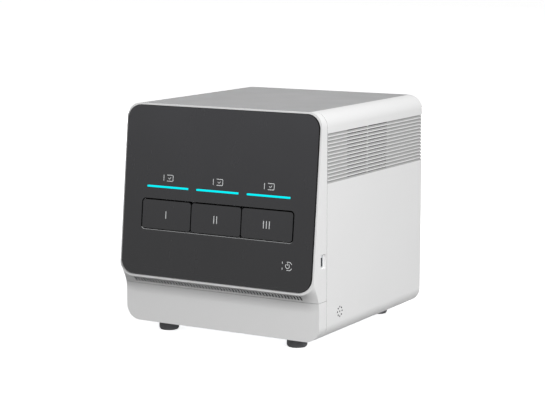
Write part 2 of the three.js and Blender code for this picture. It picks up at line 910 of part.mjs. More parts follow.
function drawerTray() {
  const inner = trayHalf - trayWall;
  const shell = block([-trayHalf, -glassReach, trayBottom], [trayHalf, trayRear, trayTop]);
  const room = block(
    [-inner, blockCentreBack - trayFrontRoom, trayBottom - overrun],
    [inner, trayRear - trayWall, trayTop - trayWall],
  );
  const window = block(
    [-blockSize / 2 - clearance, blockCentreBack - blockSize / 2 - clearance, trayTop - trayWall - overrun],
    [blockSize / 2 + clearance, blockCentreBack + blockSize / 2 + clearance, trayTop + overrun],
  );
  const behindFront = block(
    [-bodyWidth, -bodyWidth, -bodyHeight],
    [bodyWidth, drawerFrontThickness + clearance, bodyHeight],
    panelMatrix,
  );
  const box = cut(shell, [room, window, behindFront]);
  const edges = sides.flatMap((side) => {
    const pair = (near, far) => [Math.min(side * near, side * far), Math.max(side * near, side * far)];
    const [ledgeLow, ledgeHigh] = pair(inner - trayLedge, inner + trayWall / 2);
    const [armLow, armHigh] = pair(inner, trayHalf);
    const [flangeLow, flangeHigh] = pair(inner + trayWall / 2, trayHalf + trayFlangeReach);
    return [
      block(
        [ledgeLow, blockCentreBack - trayFrontRoom - trayWall / 2, trayBottom],
        [ledgeHigh, trayRear - trayWall / 2, trayBottom + trayWall],
      ),
      block([armLow, trayRear - trayWall, rackRoot], [armHigh, armEnd, armTop]),
      block(
        [flangeLow, blockCentreBack - trayFrontRoom, flangeBottom],
        [flangeHigh, armEnd, flangeBottom + trayWall],
      ),
    ];
  });
  return joined([box, ...edges, rackBar()]);
}

function heatSink() {
  const base = block(
    [-sinkWidth / 2, -sinkLength / 2, sinkHeight - sinkBase],
    [sinkWidth / 2, sinkLength / 2, sinkHeight],
  );
  const pitch = (sinkWidth - finThickness) / (sinkFins - 1);
  const fins = grid(sinkFins, pitch).map((x) => block(
    [x - finThickness / 2, -sinkLength / 2, 0],
    [x + finThickness / 2, sinkLength / 2, sinkHeight - sinkBase / 2],
  ));
  return joined([base, ...fins]);
}

function thermoPlate() {
  const skins = [0, plateHeight - plateSkin].map((z) => block(
    [-plateSize / 2, -plateSize / 2, z],
    [plateSize / 2, plateSize / 2, z + plateSkin],
  ));
  const core = block([-plateCore / 2, -plateCore / 2, 0], [plateCore / 2, plateCore / 2, plateHeight]);
  return joined([core, ...skins]);
}

function sampleBlock() {
  const body = block([-blockSize / 2, -blockSize / 2, 0], [blockSize / 2, blockSize / 2, blockHeight]);
  const slope = (wellTopRadius - wellBottomRadius) / wellDepth;
  const mouth = wellTopRadius + slope * overrun;
  const wells = grid(wellRows, wellPitch).flatMap((x) => grid(wellRows, wellPitch).map((y) => {
    const well = new THREE.CylinderGeometry(mouth, wellBottomRadius, wellDepth + overrun, wellSides);
    const middle = blockHeight - (wellDepth - overrun) / 2;
    return solidOf(well.rotateX(quarterTurn).translate(x, y, middle));
  }));
  return cut(body, wells);
}

// Pinion with involute teeth, one of them straight up at rest, and its shaft
function pinionOutline() {
  const pitchHalf = (Math.PI * gearModule / 2 - backlash / 2) / (2 * pinionRadius);
  const baseRadius = pinionRadius * Math.cos(pressureAngle);
  const involute = (angle) => Math.tan(angle) - angle;
  const halfAngle = (radius) => {
    const angle = Math.acos(Math.min(1, baseRadius / radius));
    return pitchHalf + involute(pressureAngle) - involute(angle);
  };
  const radii = [pinionRadius - gearDedendum, baseRadius, pinionRadius, pinionRadius + pinionAddendum];
  const points = [];
  for (let i = 0; i < pinionTeeth; i += 1) {
    const centre = quarterTurn + 2 * Math.PI * i / pinionTeeth;
    const flank = radii.map((radius) => [radius, halfAngle(Math.max(radius, baseRadius))]);
    flank.forEach(([r, a]) => points.push([r * Math.cos(centre - a), r * Math.sin(centre - a)]));
    flank.reverse().forEach(([r, a]) => points.push([r * Math.cos(centre + a), r * Math.sin(centre + a)]));
  }
  return outlineOf(points);
}

function drivePinion() {
  const wheel = alongX(pinionOutline(), 0, rackWidth);
  const shaft = rod('x', shaftRadius, -shaftReach, rackWidth / 2, [0, 0]);
  return joined([wheel, shaft]);
}

function drawerMotor() {
  const can = rod('x', motorRadius, -motorLength, 0, [0, 0], 2 * rodSides);
  const saddle = block(
    [-motorLength, -motorSaddleWidth / 2, deckTop + clearance - pinionHeight],
    [0, motorSaddleWidth / 2, 0],
  );
  const hole = rod('x', shaftRadius + runningGap, -shaftReach, overrun, [0, 0]);
  return joined([can, saddle]).subtract(hole);
}

function hotLid() {
  const plate = block(
    [-lidWidth / 2, blockCentreBack - lidFrontReach, lidBottom],
    [lidWidth / 2, blockCentreBack + lidRearReach, lidTop],
  );
  const holes = grid(wellRows, wellPitch).flatMap((x) => grid(wellRows, wellPitch).map((y) => rod(
    'z',
    lidHoleRadius,
    lidBottom - overrun,
    lidTop + overrun,
    [x, blockCentreBack + y],
    holeSides,
  )));
  const middle = (lidBottom + lidTop) / 2;
  const pins = lidPinPlaces().map((place) => rod('z', lidPinRadius, middle, bridgeTop + lidPinRise, place));
  const screw = rod('z', lidScrewRadius, middle, bridgeTop + lidScrewRise, [0, lidScrewBack]);
  return joined([cut(plate, holes), ...pins, screw]);
}

function lidMotor() {
  const half = lidMotorSize / 2;
  const body = block([-half, -half, 0], [half, half, lidMotorHeight]);
  return body.subtract(rod('z', lidScrewRadius + runningGap, -overrun, lidMotorHeight + overrun, [0, 0]));
}

grid(drawerCount, drawerPitch).forEach((x, i) => {
  const number = i + 1;
  const station = new THREE.Group();
  station.position.x = x;
  machine.add(station);
  addPiece(station, `drawer_front_${number}`, drawerFront(), blackGlass);
  addPiece(station, `drawer_tray_${number}`, drawerTray(), sheetSteel);
  addPiece(station, `heat_sink_${number}`, heatSink(), aluminium, [0, blockCentreBack, sinkBottom]);
  addPiece(station, `thermo_plate_${number}`, thermoPlate(), ceramic, [0, blockCentreBack, plateBottom]);
  addPiece(station, `sample_block_${number}`, sampleBlock(), aluminium, [0, blockCentreBack, blockBottom]);
  const pinionLeft = trayHalf - trayWall - rackWidth;
  const pinionPlace = [pinionLeft, pinionBack, pinionHeight];
  const motorPlace = [pinionLeft - motorFaceGap, pinionBack, pinionHeight];
  addPiece(station, `drive_pinion_${number}`, drivePinion(), brass, pinionPlace);
  addPiece(station, `drawer_motor_${number}`, drawerMotor(), blackPlastic, motorPlace);
  addPiece(station, `hot_lid_${number}`, hotLid(), aluminium);
  const lidMotorPlace = [0, lidScrewBack, bridgeTop + clearance];
  addPiece(station, `lid_motor_${number}`, lidMotor(), blackPlastic, lidMotorPlace);
});

// Optics: one housing across the three stations, with a snout above each lid
function opticsUnit() {
  const half = drawerPitch * (drawerCount - 1) / 2 + opticsEndReach;
  const housing = block(
    [-half, -opticsHalfDepth, clearance],
    [half, opticsHalfDepth, clearance + opticsHeight],
  );
  const snouts = grid(drawerCount, drawerPitch).map((x) => block(
    [x - snoutWidth / 2, -snoutDepth / 2, -sheet - snoutDrop],
    [x + snoutWidth / 2, snoutDepth / 2, clearance + opticsHeight / 2],
  ));
  return joined([housing, ...snouts]);
}

addPiece(machine, 'optics_unit', opticsUnit(), blackPlastic, [0, blockCentreBack, bridgeTop]);

// Power supply and main board on the base plate
function powerSupply() {
  const can = block(
    [supplyLeft, supplyFrontBack, sheet + clearance],
    [supplyLeft + supplyWidth, supplyRearBack, sheet + supplyHeight],
  );
  const terminals = block(
    [supplyLeft + supplyWidth / 4, supplyFrontBack - terminalDepth, sheet + clearance],
    [supplyLeft + supplyWidth * 3 / 4, supplyFrontBack + overrun, sheet + terminalHeight],
  );
  return joined([can, terminals]);
}

function mainBoard() {
  const board = block([boardLeft, boardFrontBack, boardBottom], [boardRight, boardRearBack, boardTop]);
  const legs = [boardLeft + standoffInset, boardRight - standoffInset].flatMap((x) => (
    [boardFrontBack + standoffInset, boardRearBack - lanLength - standoffInset].map((y) => (
      rod('z', standoffRadius, sheet + clearance, boardTop, [x, y])
    ))
  ));
  const middleX = (boardRight + boardLeft) / 2;
  const middleY = (boardFrontBack + boardRearBack) / 2;
  const chip = block(
    [middleX - chipSize / 2, middleY - chipSize / 2, boardBottom],
    [middleX + chipSize / 2, middleY + chipSize / 2, boardTop + chipHeight],
  );
  const connectors = grid(drawerCount, connectorLength + standoffInset).map((x) => block(
    [middleX + x - connectorLength / 2, boardFrontBack, boardBottom],
    [middleX + x + connectorLength / 2, boardFrontBack + connectorWidth, boardTop + connectorHeight],
  ));
  return joined([board, ...legs, chip, ...connectors]);
}

addPiece(machine, 'power_supply', powerSupply(), sheetSteel);
addPiece(machine, 'main_board', mainBoard(), circuitBoard);

// Rear panel with its vent slots and socket openings
const lanBottom = boardTop + clearance;

function ventSlots() {
  const radius = fanBore - ventMargin;
  const rows = Math.floor(radius / ventSlotPitch);
  return grid(2 * rows + 1, ventSlotPitch).map((z) => {
    const edge = Math.abs(z) + ventSlotHeight / 2;
    const half = Math.sqrt(Math.max(0, radius ** 2 - edge ** 2)) + ventSlotHeight / 2;
    return block(
      [-half, rearPanelFront - overrun, fanHeight + z - ventSlotHeight / 2],
      [half, rearPanelBack + overrun, fanHeight + z + ventSlotHeight / 2],
    );
  });
}

function rearPanel() {
  const inset = coverWall + clearance;
  const outline = roundedRectangle(
    bodyWidth - 2 * inset,
    bodyHeight - 2 * inset,
    edgeRadius - inset,
    0,
    bodyHeight / 2,
  );
  const plate = alongY(outline, rearPanelFront, rearPanelBack);
  const inletHole = block(
    [inletSide - inletWidth / 2 - clearance, rearPanelFront - overrun, inletHeight - inletTall / 2 - clearance],
    [inletSide + inletWidth / 2 + clearance, rearPanelBack + overrun, inletHeight + inletTall / 2 + clearance],
  );
  const lanHole = block(
    [lanSide - lanWidth / 2 - clearance, rearPanelFront - overrun, lanBottom - clearance],
    [lanSide + lanWidth / 2 + clearance, rearPanelBack + overrun, lanBottom + lanTall + clearance],
  );
  return cut(plate, [inletHole, lanHole, ...ventSlots()]);
}

addPiece(machine, 'rear_panel', rearPanel(), whiteShell);

// Rear fan, drawn with its outlet face at Y = 0
const fan = new THREE.Group();
fan.position.set(0, rearPanelFront - clearance, fanHeight);
machine.add(fan);

function fanFrame() {
  const square = alongY(roundedRectangle(fanSize, fanSize, fanCorner), -fanDepth, 0, fineSegments);
  const bored = square.subtract(rod('y', fanBore, -fanDepth - overrun, overrun, [0, 0], boreSides));
  const reach = (fanBore + fanSize / 2) / 2;
  const arms = [
    block([-reach, -statorThickness, -statorArm / 2], [reach, 0, statorArm / 2]),
    block([-statorArm / 2, -statorThickness, -reach], [statorArm / 2, 0, reach]),
  ];
  const hub = rod('y', fanHub, -statorThickness, 0, [0, 0], 2 * rodSides);
  const socket = rod('y', fanShaftRadius + runningGap, -statorThickness - overrun, overrun, [0, 0]);
  return joined([bored, hub, ...arms]).subtract(socket);
}

function fanRotor() {
  const rear = -statorThickness - clearance;
  const front = rear - fanHubLength;
  const hub = rod('y', fanHub, front, rear, [0, 0], 2 * rodSides);
  const shaft = rod('y', fanShaftRadius, rear - overrun, rear + fanShaftLength, [0, 0]);
  const tip = fanBore - fanTipGap;
  const blades = Array.from({ length: fanBlades }, (_, i) => {
    const length = tip - fanHub / 2;
    const blade = new THREE.BoxGeometry(bladeThickness, bladeChord, length);
    blade.rotateZ(bladePitch).translate(0, (front + rear) / 2, fanHub / 2 + length / 2);
    return solidOf(blade.rotateY(2 * Math.PI * i / fanBlades));
  });
  const ring = rod('y', tip, front, rear, [0, 0], boreSides);
  return joined([hub, shaft, ...blades.map((blade) => blade.intersect(ring))]);
}

addPiece(fan, 'fan_frame', fanFrame(), blackPlastic);
addPiece(fan, 'fan_rotor', fanRotor(), blackPlastic);

// Power inlet and rocker, drawn with the panel's outer face at Y = 0
const inlet = new THREE.Group();
inlet.position.set(inletSide, rearPanelBack, inletHeight);
machine.add(inlet);

function powerInlet() {
  const body = block(
    [-inletWidth / 2, -inletLength, -inletTall / 2],
    [inletWidth / 2, inletFlange, inletTall / 2],
  );
  const flange = block(
    [-inletWidth / 2 - inletLip, clearance, -inletTall / 2 - inletLip],
    [inletWidth / 2 + inletLip, inletFlange + clearance, inletTall / 2 + inletLip],
  );
  const mouthOutline = roundedRectangle(
    inletMouthWidth,
    inletMouthTall,
    inletMouthCorner,
    0,
    -inletMouthDrop,
  );
  const mouthFloor = inletFlange + clearance - inletMouthDepth;
  const mouth = alongY(mouthOutline, mouthFloor, inletFlange + overrun, fineSegments);
  const pocket = block(
    [-rockerPocketWidth / 2, inletFlange + clearance - rockerPocketDepth, rockerRaise - rockerPocketTall / 2],
    [rockerPocketWidth / 2, inletFlange + overrun, rockerRaise + rockerPocketTall / 2],
  );
  const pins = [-1, 0, 1].map((step) => {
    const x = step * inletPinSpread;
    const z = -inletMouthDrop + (step === 0 ? inletPinOffset : -inletPinOffset);
    return block(
      [x - inletPinWidth / 2, mouthFloor - overrun, z - inletPinTall / 2],
      [x + inletPinWidth / 2, mouthFloor + inletPinLength, z + inletPinTall / 2],
    );
  });
  return joined([cut(joined([body, flange]), [mouth, pocket]), ...pins]);
}

// The rocker's face is a shallow V; it rests with its lower half pressed in
function powerRocker() {
  const half = rockerPocketTall / 2 - 3 * rockerGap;
  const shape = outlineOf([
    [-rockerHalfThickness, -half],
    [-rockerHalfThickness, half],
    [rockerHalfThickness, half],
    [rockerHalfThickness - rockerShoulder, 0],
    [rockerHalfThickness, -half],
  ]);
  const halfThick = rockerPocketWidth / 2 - rockerGap;
  return alongX(shape, -halfThick, halfThick);
}

addPiece(inlet, 'power_inlet', powerInlet(), blackPlastic);
const rockerPivotBack = inletFlange + clearance - rockerPocketDepth / 2 + rockerProud;
const rocker = addPiece(inlet, 'power_rocker', powerRocker(), blackPlastic, [0, rockerPivotBack, rockerRaise]);
rocker.rotation.x = -rockerTilt;

// Network socket on the main board, flush with the rear panel
function lanPort() {
  const body = block([-lanWidth / 2, -lanLength, 0], [lanWidth / 2, 0, lanTall]);
  const mouthMiddle = lanTall / 2 + lanMouthRaise / 2;
  const mouth = block(
    [-lanMouthWidth / 2, -lanMouthDepth, mouthMiddle - lanMouthTall / 2],
    [lanMouthWidth / 2, overrun, mouthMiddle + lanMouthTall / 2],
  );
  return body.subtract(mouth);
}

addPiece(machine, 'lan_port', lanPort(), sheetSteel, [lanSide, rearPanelBack, lanBottom]);

// Stand the machine on its feet, centred over its footprint
machine.position.set(0, (glassReach - casingDepth) / 2, footHeight);

export default machine;
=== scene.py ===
"""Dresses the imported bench-top PCR machine: fine shells, glass front, sockets, drawers and their insides.

Shapes are drawn in the machine's own space, where Y = 0 is the seam between the front housing and
the casing and Z = 0 is the underside of the body, and are moved into the frame when they are finished.
All lengths are in metres.
"""

import math

import bmesh
import bpy
from mathutils import Matrix, Vector


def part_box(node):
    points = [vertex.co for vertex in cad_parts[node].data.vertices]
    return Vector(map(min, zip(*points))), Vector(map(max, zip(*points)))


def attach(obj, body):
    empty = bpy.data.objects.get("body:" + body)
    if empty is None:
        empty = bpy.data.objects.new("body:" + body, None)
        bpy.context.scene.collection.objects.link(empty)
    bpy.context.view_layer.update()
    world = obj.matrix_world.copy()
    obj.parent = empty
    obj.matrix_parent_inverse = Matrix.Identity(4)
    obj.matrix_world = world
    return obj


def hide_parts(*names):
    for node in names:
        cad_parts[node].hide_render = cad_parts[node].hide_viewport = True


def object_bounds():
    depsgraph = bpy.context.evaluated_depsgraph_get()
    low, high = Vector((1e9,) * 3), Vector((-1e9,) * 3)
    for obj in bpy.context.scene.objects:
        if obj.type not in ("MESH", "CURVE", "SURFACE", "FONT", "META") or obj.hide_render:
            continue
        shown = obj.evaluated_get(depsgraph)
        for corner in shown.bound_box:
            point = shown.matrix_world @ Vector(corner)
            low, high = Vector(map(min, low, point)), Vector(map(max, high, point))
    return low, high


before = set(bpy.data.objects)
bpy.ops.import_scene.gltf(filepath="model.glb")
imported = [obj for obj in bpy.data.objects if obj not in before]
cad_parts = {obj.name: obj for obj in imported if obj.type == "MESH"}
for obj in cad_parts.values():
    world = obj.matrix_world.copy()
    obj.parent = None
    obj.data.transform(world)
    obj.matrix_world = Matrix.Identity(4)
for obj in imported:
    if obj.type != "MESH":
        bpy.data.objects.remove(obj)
cad_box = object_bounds()

bl_info = {
    "name": "Bench PCR machine",
    "version": (1, 0, 0),
    "blender": (4, 5, 0),
    "location": "3D View > Sidebar > PCR machine",
    "description": "Builds the outer shells, the glass front and the insides of a bench-top PCR machine",
    "category": "Object",
}

# Lengths in metres: the gap between neighbours and round a turning part, how far a cutter passes a face, what
# counts as no length at all and as the same place, and half the thickness of printed ink
CLEARANCE = 0.0003
RUNNING_GAP = 0.0004
OVERRUN = 0.002
SLIVER = 1e-7
TOUCH = 10 * SLIVER
INK = CLEARANCE / 6

# A pan head: its height and the recess's arms and blades as shares of its radius, its rim and the recess's
# depth from the seat as shares of its height, and the recess's floor as a share of its mouth
HEAD_SHARES = {"height": 0.62, "arm": 0.55, "blade": 0.16, "rim": 0.35, "floor": 0.3, "tip": 0.75}

# How many times a corner's rounding has to fit into each of its legs
LEAST_LEG = 2.01

# A normal's share along an axis from which a face counts as lying across it
FACING = 0.9

# Nearly all of a noise lies between these values
NOISE_SPAN = (0.3, 0.7)

SIDES = (-1, 1)
STATIONS = (1, 2, 3)
GUIDE_WALLS = (1, 2, 3, 4)

# Inputs of the geometry node trees: their labels and the kinds of their sockets
ROW_INPUTS = (("Count", "Int"), ("Pitch", "Vector"), ("Rows", "Int"), ("Row pitch", "Vector"),
              ("Start", "Vector"), ("Turn", "Vector"))
HOLE_INPUTS = (("Sides", "Int"), ("Top radius", "Float"), ("Bottom radius", "Float"), ("Depth", "Float"))

seam_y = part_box("side_cover_right")[0].y - CLEARANCE / 2
underside_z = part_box("base_plate")[0].z
casing_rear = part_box("side_cover_right")[1].y - seam_y
machine_to_frame = Matrix.Translation((0, seam_y, underside_z))
station_centre = {n: sum(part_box(f"drawer_front_{n}"), Vector()).x / 2 for n in STATIONS}


def machine_box(node):
    """A node's lowest and highest corner in the machine's own space."""
    shift = Vector((0, seam_y, underside_z))
    low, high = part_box(node)
    return low - shift, high - shift


# Properties


def length(label, description, default):
    return bpy.props.FloatProperty(
        name=label, description=description, default=default, min=0.0, precision=5, unit="LENGTH"
    )


def angle(label, description, degrees):
    return bpy.props.FloatProperty(
        name=label, description=description, default=math.radians(degrees), subtype="ANGLE"
    )


def count(label, description, default):
    return bpy.props.IntProperty(name=label, description=description, default=default, min=1)


def amount(label, description, default):
    return bpy.props.FloatProperty(name=label, description=description, default=default, min=0.0)


def paint(label, description, level):
    """A colour property. The default is given as a display colour from 0 to 255 in each channel."""
    return bpy.props.FloatVectorProperty(
        name=label, description=description, default=[display_to_linear(v) for v in level], subtype="COLOR",
        min=0.0, max=1.0,
    )


def display_to_linear(value):
    """The usual display curve, whose constants these are."""
    share = value / 255
    return share / 12.92 if share <= 0.04045 else ((share + 0.055) / 1.055) ** 2.4


class ShellSizes(bpy.types.PropertyGroup):
    """Sizes of the casing, the front housing and the covers."""

    width: length("Body width", "Width across the two side covers", cad_box[1].x - cad_box[0].x)
    height: length("Body height", "From the underside to the top cover", cad_box[1].z - underside_z)
    edge: length("Edge radius", "Radius of the four long edges", 0.020)
    wall: length("Cover wall", "Wall of the side covers", 0.003)
    front_wall: length("Front wall", "Wall of the front housing", 0.0025)
    sheet: length("Sheet", "Thickness of the top cover and base plate", 0.002)
    lower_reach: length("Lower front reach", "How far the lower front stands before the seam", 0.0202)
    lip_rim: length("Lip rim", "White rim below the glass", 0.0033)
    lip_corner: length("Lip corner", "Radius of the lip's lower corners", 0.021)
    scoop: length("Scoop radius", "Radius of the concave scoop under the lip", 0.030)
    parting: length("Parting height", "Height of the line between the two front mouldings", 0.0526)
    rim_round: length("Rim rounding", "Rounding of the rim round the glass", 0.0009)
    seam_round: length("Seam rounding", "Rounding of edges along seams", 0.0005)
    seam_gap: length("Seam gap", "Shadow gap between the front housing and the covers", 0.0004)
    ledge_depth: length("Ledge depth", "Depth of the ledge that carries the top cover", 0.0095)
    ledge_thickness: length("Ledge thickness", "Thickness of that ledge", 0.0022)
    ledge_margin: length("Ledge margin", "How far the ledge passes the cover's edge", 0.003)
    flange: length("Flange", "Thickness of the side covers' flanges", 0.0025)
    flange_lap: length("Flange lap", "How far a flange runs into its cover", 0.006)


class PanelSizes(bpy.types.PropertyGroup):
    """Sizes of the leaning glass front and what is in it."""

    tilt: angle("Tilt", "How far the front leans back", 6.05)
    reach: length("Reach", "How far the glass's lower edge stands before the seam", 0.0384)
    rise: length("Rise", "Height of the glass's lower edge above the underside", 0.0679)
    width: length("Glass width", "Width of the glass", 0.2943)
    length: length("Glass length", "Length of the glass up the slope", 0.2283)
    corner: length("Glass corner", "Corner radius of the glass", 0.0195)
    thickness: length("Glass thickness", "Thickness of the glass", 0.004)
    proud: length("Proud", "How far the glass stands proud of its rim", 0.0025)
    bevel: length("Glass bevel", "Polished bevel round the glass", 0.0012)
    light_length: length("Light length", "Length of each status light", 0.0650)
    light_height: length("Light height", "Height of each status light", 0.0023)
    light_rise: length("Light rise", "Place of the lights up the slope", 0.1202)
    drawer_width: length("Drawer width", "Width of a drawer front", 0.0766)
    drawer_height: length("Drawer height", "Height of a drawer front", 0.0386)
    drawer_corner: length("Drawer corner", "Corner radius of a drawer front", 0.004)
    drawer_gap: length("Drawer gap", "Gap round the drawer fronts", 0.0012)
    drawer_centre: length("Drawer centre", "Height of the drawers' centre above the underside", 0.1504)
    drawer_thickness: length("Drawer thickness", "Thickness of a drawer front", 0.006)


class GrilleSizes(bpy.types.PropertyGroup):
    """Sizes of the air slots, louvres and the data socket."""

    slots: count("Intake slots", "Slots under the lip", 56)
    pitch: length("Intake pitch", "Distance between slots", 0.00466)
    slot_width: length("Intake slot width", "Width of a slot", 0.0022)
    slot_length: length("Intake slot length", "Length of a slot", 0.009)
    slot_angle: angle("Intake slot angle", "Place of the slots on the scoop", 46)
    louvres: count("Louvres", "Louvres on each side", 14)
    louvre_pitch: length("Louvre pitch", "Distance between louvres", 0.0047)
    louvre_top: length("Louvre top", "Height of the highest louvre's edge", 0.2696)
    louvre_depth: length("Louvre depth", "How deep a louvre cuts in", 0.0022)
    louvre_hook: length("Louvre hook", "Height over which a louvre stays at its full depth", 0.0012)
    louvre_fall: length("Louvre fall", "Height over which a louvre comes out again", 0.0033)
    window_height: length("Window height", "Height of the opening behind a louvre", 0.0016)
    window_start: length("Window start", "Where the openings begin behind the seam", 0.0584)
    window_end: length("Window end", "Where the openings end behind the seam", 0.175)
    window_rib: length("Window rib", "Width of the rib between the openings", 0.0024)
    socket_forward: length("Socket forward", "Data socket's place before the seam", 0.0097)
    socket_height: length("Socket height", "Data socket's height above the underside", 0.10565)
    recess_depth: length("Recess width", "Width of the data socket's recess", 0.0128)
    recess_height: length("Recess height", "Height of the recess", 0.019)
    recess_corner: length("Recess corner", "Corner radius of the recess", 0.003)
    recess_floor: length("Recess floor", "Depth of the recess", 0.0025)
    recess_flare: length("Recess flare", "Chamfer round the recess's mouth", 0.0002)
    boss_margin: length("Boss margin", "Boss round the recess", 0.0016)
    boss_thickness: length("Boss thickness", "Thickness of that boss", 0.006)
    speaker_back: length("Speaker back", "Speaker's place behind the seam", 0.0364)
    speaker_height: length("Speaker height", "Speaker's height above the underside", 0.0322)
    speaker_hole: length("Speaker hole", "Radius of a speaker hole", 0.0013)
    speaker_ring: length("Speaker ring", "Radius of the ring of speaker holes", 0.0063)
    speaker_holes: count("Speaker holes", "Holes in that ring", 8)


class RearSizes(bpy.types.PropertyGroup):
    """Sizes of the power inlet that the rear panel's opening follows."""

    inlet_lip: length("Inlet lip", "How far the inlet's flange passes its body", 0.0022)
    inlet_flange: length("Inlet flange", "How far the flange stands on the panel", 0.0023)
    mouth_width: length("Mouth width", "Width of the inlet's mouth", 0.022)
    mouth_height: length("Mouth height", "Height of the mouth", 0.016)
    mouth_cut: length("Mouth cut", "Slanted corners of the mouth", 0.0045)
    mouth_depth: length("Mouth depth", "Depth of the mouth", 0.015)
    mouth_drop: length("Mouth drop", "Mouth's place below the inlet's middle", 0.011)
    pin_width: length("Pin width", "Width of a pin", 0.002)
    pin_height: length("Pin height", "Height of a pin", 0.004)
    pin_length: length("Pin length", "Length of a pin", 0.009)
    pin_spread: length("Pin spread", "Distance between neighbouring pins", 0.007)
    pin_offset: length("Pin offset", "Outer pins' drop and middle pin's rise", 0.002)
    pocket_width: length("Pocket width", "Width of the switch's pocket", 0.014)
    pocket_height: length("Pocket height", "Height of the pocket", 0.020)
    pocket_depth: length("Pocket depth", "Depth of the pocket", 0.009)
    rocker_rise: length("Rocker rise", "Switch's place above the inlet's middle", 0.012)
    rocker_back: length("Rocker back", "How far the rocker's pivot lies inside the panel's face", 0.0012)
    rocker_half: length("Rocker half height", "Half the rocker's height", 0.00865)
    rocker_width: length("Rocker width", "Width of the rocker", 0.0131)
    rocker_thick: length("Rocker thickness", "Half the rocker's thickness", 0.003)
    rocker_dip: length("Rocker dip", "Depth of the rocker's shallow V", 0.0018)
    rocker_tilt: angle("Rocker tilt", "Rocker's tilt at rest", 8)


class Finishes(bpy.types.PropertyGroup):
    """Colours of the finishes."""

    white: paint("Shell white", "Moulded white covers", (228, 228, 228))
    grey: paint("Cover grey", "Painted top cover", (157, 157, 158))
    # The grey of the louvres' grooves is painted shade under each louvre's edge.
    groove: paint("Groove grey", "Grooves of the louvres", (173, 173, 173))
    fleece: paint("Fleece", "Dust filters behind the louvres", (58, 59, 61))
    glass: paint("Glass black", "Black behind the front glass", (27, 27, 29))
    glass_edge: paint("Glass edge", "Cut edges of the front glass", (10, 10, 11))
    # The light grey of the glass's edge under the drawers is a painted highlight.
    ground_edge: paint("Ground edge", "Ground edge under the drawers", (150, 151, 152))
    light: paint("Light", "Status lights", (0, 246, 254))
    ink: paint("Ink", "Printed marks on the glass", (214, 216, 217))
    rubber: paint("Rubber", "Feet", (104, 104, 106))
    steel: paint("Steel", "Plated sheet steel", (196, 199, 202))
    aluminium: paint("Aluminium", "Machined aluminium", (208, 210, 213))
    # This black is also the painted shade on the walls of slots, holes and seams.
    plastic: paint("Black plastic", "Sockets, fan and optics housing", (38, 39, 41))
    motor: paint("Motor black", "Motor cans", (30, 31, 33))
    board: paint("Board green", "Circuit boards", (24, 84, 56))
    ceramic: paint("Ceramic", "Thermoelectric plates", (238, 235, 226))
    brass: paint("Brass", "Pinions", (196, 164, 98))


class StageSizes(bpy.types.PropertyGroup):
    """The camera, the floor and the lamps."""

    azimuth: angle("Azimuth", "Camera's turn to the right of the front", 30.301)
    elevation: angle("Elevation", "Camera's height above the horizon", 9.08)
    camera_x: length("Camera X", "Camera's place to the right", 1.15767)
    camera_y: length("Camera distance", "Camera's place before the machine", 1.98415)
    camera_z: length("Camera height", "Camera's height above the bench", 0.52468)
    lens: amount("Lens", "Focal length in millimetres", 110.70)
    sensor: amount("Sensor", "Sensor width in millimetres", 36.0)
    clip_near: length("Near clip", "Nearest distance that the camera sees", 0.05)
    clip_far: length("Far clip", "Farthest distance that the camera sees", 100.0)
    floor: length("Floor", "Half the floor's width", 14.0)
    paper: amount("Paper", "Tone of the floor where the camera sees it", 0.86)
    ambient: amount("Ambient", "Strength of the white surroundings on the object", 0.46)
    bench: amount("Bench", "How much of the light on the floor it throws back at the object", 0.09)
    key_turn: angle("Key turn", "Key lamp's turn to the right of the front", 52)
    key_rise: angle("Key rise", "Key lamp's height above the horizon", 25)
    key_reach: length("Key reach", "Key lamp's distance from the machine", 3.0)
    key_size: length("Key size", "Width of the key lamp", 1.4)
    key_power: amount("Key lamp", "Power of the key lamp in watts", 81.0)
    top_power: amount("Top lamp", "Power of the top lamp in watts", 3.0)
    back_turn: angle("Back turn", "Back lamp's turn to the right of the front", 214)
    back_rise: angle("Back rise", "Back lamp's height above the horizon", 7)
    back_power: amount("Back lamp", "Power of the back lamp in watts", 44.0)
    lift: amount("Floor lift", "Light added to the floor where the camera sees it", 0.70)


def sizes():
    scene = bpy.context.scene
    return scene.pcr_shell, scene.pcr_panel, scene.pcr_grille


# Outlines


def rectangle(width, height, centre=(0, 0)):
    x, y = centre
    return [(x + sx * width / 2, y + sy * height / 2) for sx, sy in ((-1, -1), (1, -1), (1, 1), (-1, 1))]


def rounded(width, height, radius, centre=(0, 0), steps=16):
    """Outline of a rounded rectangle, anticlockwise from its lower right corner."""
    points = []
    for turn, (sx, sy) in enumerate(((1, -1), (1, 1), (-1, 1), (-1, -1))):
        middle = (centre[0] + sx * (width / 2 - radius), centre[1] + sy * (height / 2 - radius))
        for i in range(steps + 1):
            bend = math.radians(90) * (turn - 1 + i / steps)
            points.append((middle[0] + radius * math.cos(bend), middle[1] + radius * math.sin(bend)))
    return points


def circle(radius, centre=(0, 0), steps=48):
    turn = 2 * math.pi / steps
    bends = [i * turn for i in range(steps)]
    return [(centre[0] + radius * math.cos(bend), centre[1] + radius * math.sin(bend)) for bend in bends]


def arc(centre, radius, start, end, steps=16):
    """Points along an arc, between two angles in degrees."""
    turns = [math.radians(start + (end - start) * i / steps) for i in range(steps + 1)]
    return [(centre[0] + radius * math.cos(t), centre[1] + radius * math.sin(t)) for t in turns]


def spread(number, pitch):
    """Places of a row of things, centred on zero."""
    return [(i - (number - 1) / 2) * pitch for i in range(number)]


def flat_middle(low, high, axes):
    """The middle of a box, seen along the axis that isn't among the two given ones."""
    return tuple((getattr(low, axis) + getattr(high, axis)) / 2 for axis in axes)


def box_outline(low, high, axes, corner, steps=16):
    """Rounded outline of a box, seen along the axis that isn't among the two given ones."""
    width, height = (getattr(high, axis) - getattr(low, axis) for axis in axes)
    return rounded(width, height, corner, flat_middle(low, high, axes), steps)


